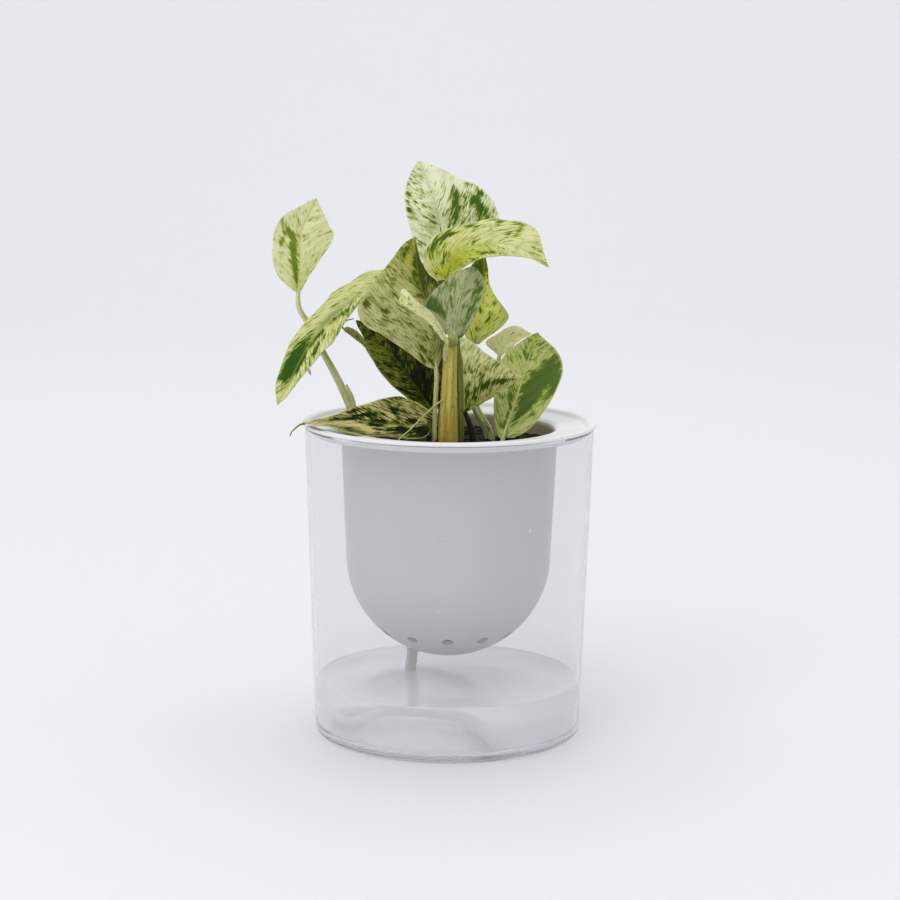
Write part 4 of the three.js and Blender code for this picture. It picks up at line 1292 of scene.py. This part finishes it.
# Smooth values at shares 0 to 1 through evenly spaced points.
def through(points, share):
    points = np.array(points, dtype=float)
    last = len(points) - 1
    place = np.clip(share, 0, 1) * last
    start = np.minimum(place.astype(int), last - 1)
    t = (place - start)[..., None]
    padded = np.vstack([2 * points[0] - points[1], points, 2 * points[-1] - points[-2]])
    a, b, c, d = (padded[start + step] for step in range(4))
    return b + 0.5 * t * (c - a + t * (2 * a - 5 * b + 4 * c - d + t * (3 * (b - c) + d - a)))


def unit(vectors):
    return vectors / np.linalg.norm(vectors, axis=-1, keepdims=True)


def spineLength(leaf):
    line = through(leaf["spine"], np.linspace(0, 1, 21))
    return np.linalg.norm(np.diff(line, axis=0), axis=1).sum()


# Midrib frame: place, face and the way to its right at each station.
def frameAt(leaf, station):
    held = np.clip(station, 0, 1)
    before = through(leaf["spine"], np.maximum(held - 0.01, 0))
    after = through(leaf["spine"], np.minimum(held + 0.01, 1))
    along = unit(after - before)
    place = through(leaf["spine"], held)
    place = place + along * ((station - held) * spineLength(leaf))[..., None]
    face = through(leaf["face"], held)
    face = unit(face - along * (face * along).sum(-1, keepdims=True))
    return place, face, np.cross(along, face)


# Points of a blade with its upward directions; row 0 base to 1 tip, across -1 to 1.
def bladePoints(leaf, row, across):
    share = np.abs(across)
    sign = np.where(across < 0, -1.0, 1.0)
    left, right = (through(margin, row) for margin in leaf["margins"])
    edge = np.where((across < 0)[..., None], left, right)
    middle = row**1.25
    station = middle + (edge[..., 0] - middle) * share**1.5
    place, face, rightWay = frameAt(leaf, station)
    half = np.where(across < 0, leaf["half"][0], leaf["half"][1])
    out = half * np.maximum(edge[..., 1], 0) * share
    mix = np.clip(station, 0, 1)
    sides = []
    for onLeft, onRight in (leaf["fold"], leaf.get("curl", blade["curl"])):
        start, end = (np.where(across < 0, *pair) for pair in zip(onLeft, onRight))
        sides.append(np.radians(start + (end - start) * mix))
    start, turn = sides
    end = start - turn * out / half
    sideways = (np.sin(start) - np.sin(end)) * half / turn
    raised = (np.cos(end) - np.cos(start)) * half / turn
    point = place + rightWay * (sign * sideways)[..., None] + face * raised[..., None]
    lean = np.where(share > 0, -sign * np.sin(end), 0)
    upward = unit(face * np.cos(end)[..., None] + rightWay * lean[..., None])
    return point, upward, out, station


# Sum of soft spots over a blade.
def areas(spots, row, across):
    total = np.zeros(len(row))
    for atRow, atAcross, reachRow, reachAcross, amount in spots:
        away = ((row - atRow) / reachRow) ** 2 + ((across - atAcross) / reachAcross) ** 2
        total += amount * np.exp(-away)
    return total


# Blade: a grid is laid along the midrib, raised between the veins, then given thickness.
def bladePiece(name, leaf):
    rows, columns = blade["rows"], 2 * blade["columns"]
    deselectAll()
    bpy.ops.mesh.primitive_grid_add(x_subdivisions=columns, y_subdivisions=rows, size=2)
    piece = bpy.context.object
    piece.name = name
    mesh = piece.data
    flat = np.zeros(len(mesh.vertices) * 3, dtype=np.float32)
    mesh.vertices.foreach_get("co", flat)
    flat = flat.reshape(-1, 3)
    across = flat[:, 0].astype(float)
    row = (flat[:, 1] + 1.0) / 2
    point, upward, out, station = bladePoints(leaf, row, across)
    share = np.abs(across)
    lean = math.radians(leaf.get("veinLean", blade["veinLean"]))
    upTheLeaf = station * spineLength(leaf)
    veinPlace = upTheLeaf * math.cos(lean) - out * math.sin(lean)
    veinRun = upTheLeaf * math.sin(lean) + out * math.cos(lean)
    ribbing = blade["veinRise"] * np.cos(veinPlace / blade["veinEvery"] * 2 * math.pi)
    ribbing *= np.minimum(out / 3, 1) * (1 - share**4)
    fade = np.minimum(np.minimum(row, 1 - row) * 12, 1)
    groove = -blade["grooveDepth"] * np.exp(-((out / blade["grooveWidth"]) ** 2)) * fade
    waves = np.array([noise.noise(Vector(spot / blade["waveEvery"])) for spot in point])
    waves *= blade["waveRise"] * share * np.minimum(out / 4, 1)
    point = point + upward * (ribbing + groove + waves)[:, None]
    mesh.vertices.foreach_set("co", (point * mm).astype(np.float32).ravel())
    marble = leaf["green"] + areas(leaf["patches"], row, across)
    wash = areas(leaf["washes"], row, across)
    vein = np.stack([veinPlace, veinRun, across], axis=1)
    rib = np.exp(-((out / blade["ribMark"]) ** 2))
    values = {"marble": marble, "wash": wash, "rib": rib, "rim": share}
    for key, numbers in values.items():
        layer = mesh.attributes.new(key, "FLOAT", "POINT")
        layer.data.foreach_set("value", numbers.astype(np.float32))
    layer = mesh.attributes.new("vein", "FLOAT_VECTOR", "POINT")
    layer.data.foreach_set("vector", vein.astype(np.float32).ravel())
    pick(piece)
    bpy.ops.object.mode_set(mode="EDIT")
    bpy.ops.mesh.select_all(action="SELECT")
    bpy.ops.mesh.remove_doubles(threshold=0.002 * mm)
    bpy.ops.object.mode_set(mode="OBJECT")
    count = len(mesh.vertices)
    applyModifier(piece, "SOLIDIFY", thickness=blade["thick"] * mm, offset=0)
    under = np.zeros(len(piece.data.vertices), dtype=np.float32)
    under[count:] = 1
    layer = piece.data.attributes.new("under", "FLOAT", "POINT")
    layer.data.foreach_set("value", under)
    return piece


# Petiole that runs on under the blade as its midrib.
def stalkPiece(name, leaf):
    stations = np.array(blade["midribStations"])
    place, face = frameAt(leaf, stations)[:2]
    below = place - face * blade["midribDrop"]
    route = [*leaf["stalk"], *(tuple(point) for point in below)]
    total = smoothRoute(route, 60)[1] / mm
    start = 1 - (stations[-1] - stations[0]) * spineLength(leaf) / total
    thick, thin = leaf["stalkRadius"]
    neck = leaf.get("neckRadius", blade["neckRadius"])
    neckStart = max(start - blade["neckLength"] / total, 0.01)
    ribStart = start + blade["stalkTaper"] / total
    places = [0, neckStart, max(start, 0.02), ribStart, 1]
    thickness = [thick, thin, min(thin, neck), *blade["midribRadii"]]
    radii = np.interp(np.linspace(0, 1, 61), places, thickness)
    return sweepTube(name, route, radii, blade["stalkSides"], blade["stalkSteps"])


# Sum of a value and noises about their middle, each with its weight.
def addNoises(tree, value, noises, weights):
    for noiseValue, weight in zip(noises, weights):
        part = doMath(tree, "MULTIPLY_ADD", noiseValue, weight)
        part.node.inputs[2].default_value = -weight / 2
        value = doMath(tree, "ADD", part, value)
    return value


# Marbled skin: soft streaks on a pale ground, then crisp green marks along the veins.
def leafBlade(name, leaf, seed):
    material, tree, shader = newMaterial(name + "Marbling")
    vein = meshLayer(tree, "vein", "Vector")
    layers = {key: meshLayer(tree, key) for key in ("marble", "wash", "rib", "rim", "under")}
    pale, soft, mid, dark = leaf["tones"]
    place = (seed * 3.7, seed * 1.9, 0)
    blotches = stretchedNoise(tree, vein, marbling["blotches"], place, detail=3, rough=0.55)
    streaks = stretchedNoise(tree, vein, marbling["streaks"], place, detail=3, rough=0.6)
    feathers = stretchedNoise(tree, vein, marbling["feathers"], place, detail=4, rough=0.65)
    flecks = stretchedNoise(tree, vein, marbling["flecks"], place, detail=2, rough=0.6)
    clouds = stretchedNoise(tree, vein, marbling["clouds"], (seed, 5, 2), detail=2)
    marks = (blotches, streaks, feathers)
    cloudy = addNoises(tree, layers["marble"], marks, marbling["softWeights"])
    green = addNoises(tree, layers["marble"], marks, marbling["crispWeights"])
    ground = mixColors(tree, layers["wash"], pale, leaf["washTone"])
    color = mixColors(tree, greyRamp(tree, cloudy, marbling["softShare"]), ground, soft)
    deep = mixColors(tree, greyRamp(tree, green, marbling["deepShare"]), mid, dark)
    color = mixColors(tree, greyRamp(tree, green, marbling["crispShare"]), color, deep)
    shades = colorRamp(tree, clouds, [(0.3, (0.9, 0.9, 0.86, 1)), (0.7, (1.04, 1.04, 1.04, 1))])
    color = mixColors(tree, 1.0, color, shades, "MULTIPLY")
    layers["rim"] = doMath(tree, "GREATER_THAN", layers["rim"], blade["rimFrom"])
    for key, amount in marbling["coats"].items():
        share = doMath(tree, "MULTIPLY", layers[key], amount)
        color = mixColors(tree, share, color, pale if key == "rim" else soft)
    tree.links.new(color, shader.inputs["Base Color"])
    rough = greyRamp(tree, flecks, blade["roughness"])
    tree.links.new(rough, shader.inputs["Roughness"])
    shader.inputs["Specular IOR Level"].default_value = blade["gloss"]
    addBump(tree, shader, streaks, *blade["bump"])
    glow = addNode(tree, "BsdfTranslucent", {"Color": color})
    both = {0: blade["glow"], 1: shader.outputs[0], 2: glow.outputs[0]}
    mix = addNode(tree, "MixShader", both)
    showSurface(tree, mix)
    return material


def camelName(name):
    first, *rest = name.split("_")
    return first + "".join(word.title() for word in rest)


def addLeaf(name, leaf, seed):
    title = camelName(name)
    surface = bladePiece(title, leaf)
    surface.data.materials.append(leafBlade(title, leaf, seed))
    skin = stemSkin(title + "Petiole", *leaf.get("stalkTones", petioleTones))
    stalk = stalkPiece(title + "Stalk", leaf)
    stalk.data.materials.append(skin)
    parts = [surface, stalk]
    for key, (radii, sides, steps) in extras.items():
        if key in leaf:
            extra = sweepTube(title + key.title(), leaf[key], radii, sides, steps)
            extra.data.materials.append(dryScrap if key == "scrap" else skin)
            parts.append(extra)
    piece = joinPieces(parts, title)
    smoothByAngle(piece, 60)
    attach(piece, "root")
    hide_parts(name)


dryScrap = stemSkin("dryScrap", tone(196, 170, 138), tone(150, 122, 88), tone(92, 66, 44))
for seed, (leafName, leafFacts) in enumerate(leaves.items()):
    addLeaf(leafName, leafFacts, seed + 1)
print("leaves", len(leaves))


# Floor and light.

studio = {
    "floor": tone(236, 237, 240),
    "floorSize": 6.0,
    "backHeight": 3.0,
    "sweepRadius": 1.6,
    "roughness": 0.7,
    "world": (0.97, 0.98, 1.0, 1),
    "worldStrength": 0.63,
    "lamps": [  # place, aim, size, power
        ((0.0, 1.1, 2.2), (0.0, 1.1, 0.0), 3.0, 22),
        ((-0.6, -1.2, 1.6), (0.0, 0.0, 0.12), 1.4, 12),
    ],
}


# Floor that sweeps up behind the planter.
def addFloor():
    deselectAll()
    bpy.ops.mesh.primitive_plane_add(size=studio["floorSize"])
    piece = bpy.context.object
    piece.name = "studioFloor"
    bpy.ops.object.mode_set(mode="EDIT")
    bpy.ops.mesh.select_mode(type="EDGE")
    bpy.ops.mesh.select_all(action="DESELECT")
    bpy.ops.object.mode_set(mode="OBJECT")
    back = studio["floorSize"] / 2 - 0.1
    for edge in piece.data.edges:
        edge.select = all(piece.data.vertices[index].co.y > back for index in edge.vertices)
    bpy.ops.object.mode_set(mode="EDIT")
    rise = (0, 0, studio["backHeight"])
    bpy.ops.mesh.extrude_region_move(TRANSFORM_OT_translate={"value": rise})
    bpy.ops.object.mode_set(mode="OBJECT")
    for edge in piece.data.edges:
        points = [piece.data.vertices[index].co for index in edge.vertices]
        edge.select = all(point.y > back and point.z < 0.1 for point in points)
    bpy.ops.object.mode_set(mode="EDIT")
    bpy.ops.mesh.bevel(offset=studio["sweepRadius"], segments=20, affect="EDGES")
    bpy.ops.object.mode_set(mode="OBJECT")
    smoothByAngle(piece, 40)
    material, tree, shader = newMaterial("paleFloor")
    shader.inputs["Base Color"].default_value = studio["floor"]
    shader.inputs["Roughness"].default_value = studio["roughness"]
    piece.data.materials.append(material)


def addLamps():
    for place, aim, size, power in studio["lamps"]:
        turn = (Vector(aim) - Vector(place)).to_track_quat("-Z", "Y").to_euler()
        bpy.ops.object.light_add(type="AREA", location=place, rotation=turn)
        lamp = bpy.context.object.data
        lamp.size = size
        lamp.energy = power
    world = scene.world or bpy.data.worlds.new("studioWorld")
    scene.world = world
    world.use_nodes = True
    background = world.node_tree.nodes["Background"]
    background.inputs["Color"].default_value = studio["world"]
    background.inputs["Strength"].default_value = studio["worldStrength"]


addFloor()
addLamps()
scene.cycles.use_denoising = True
print("floor and light")
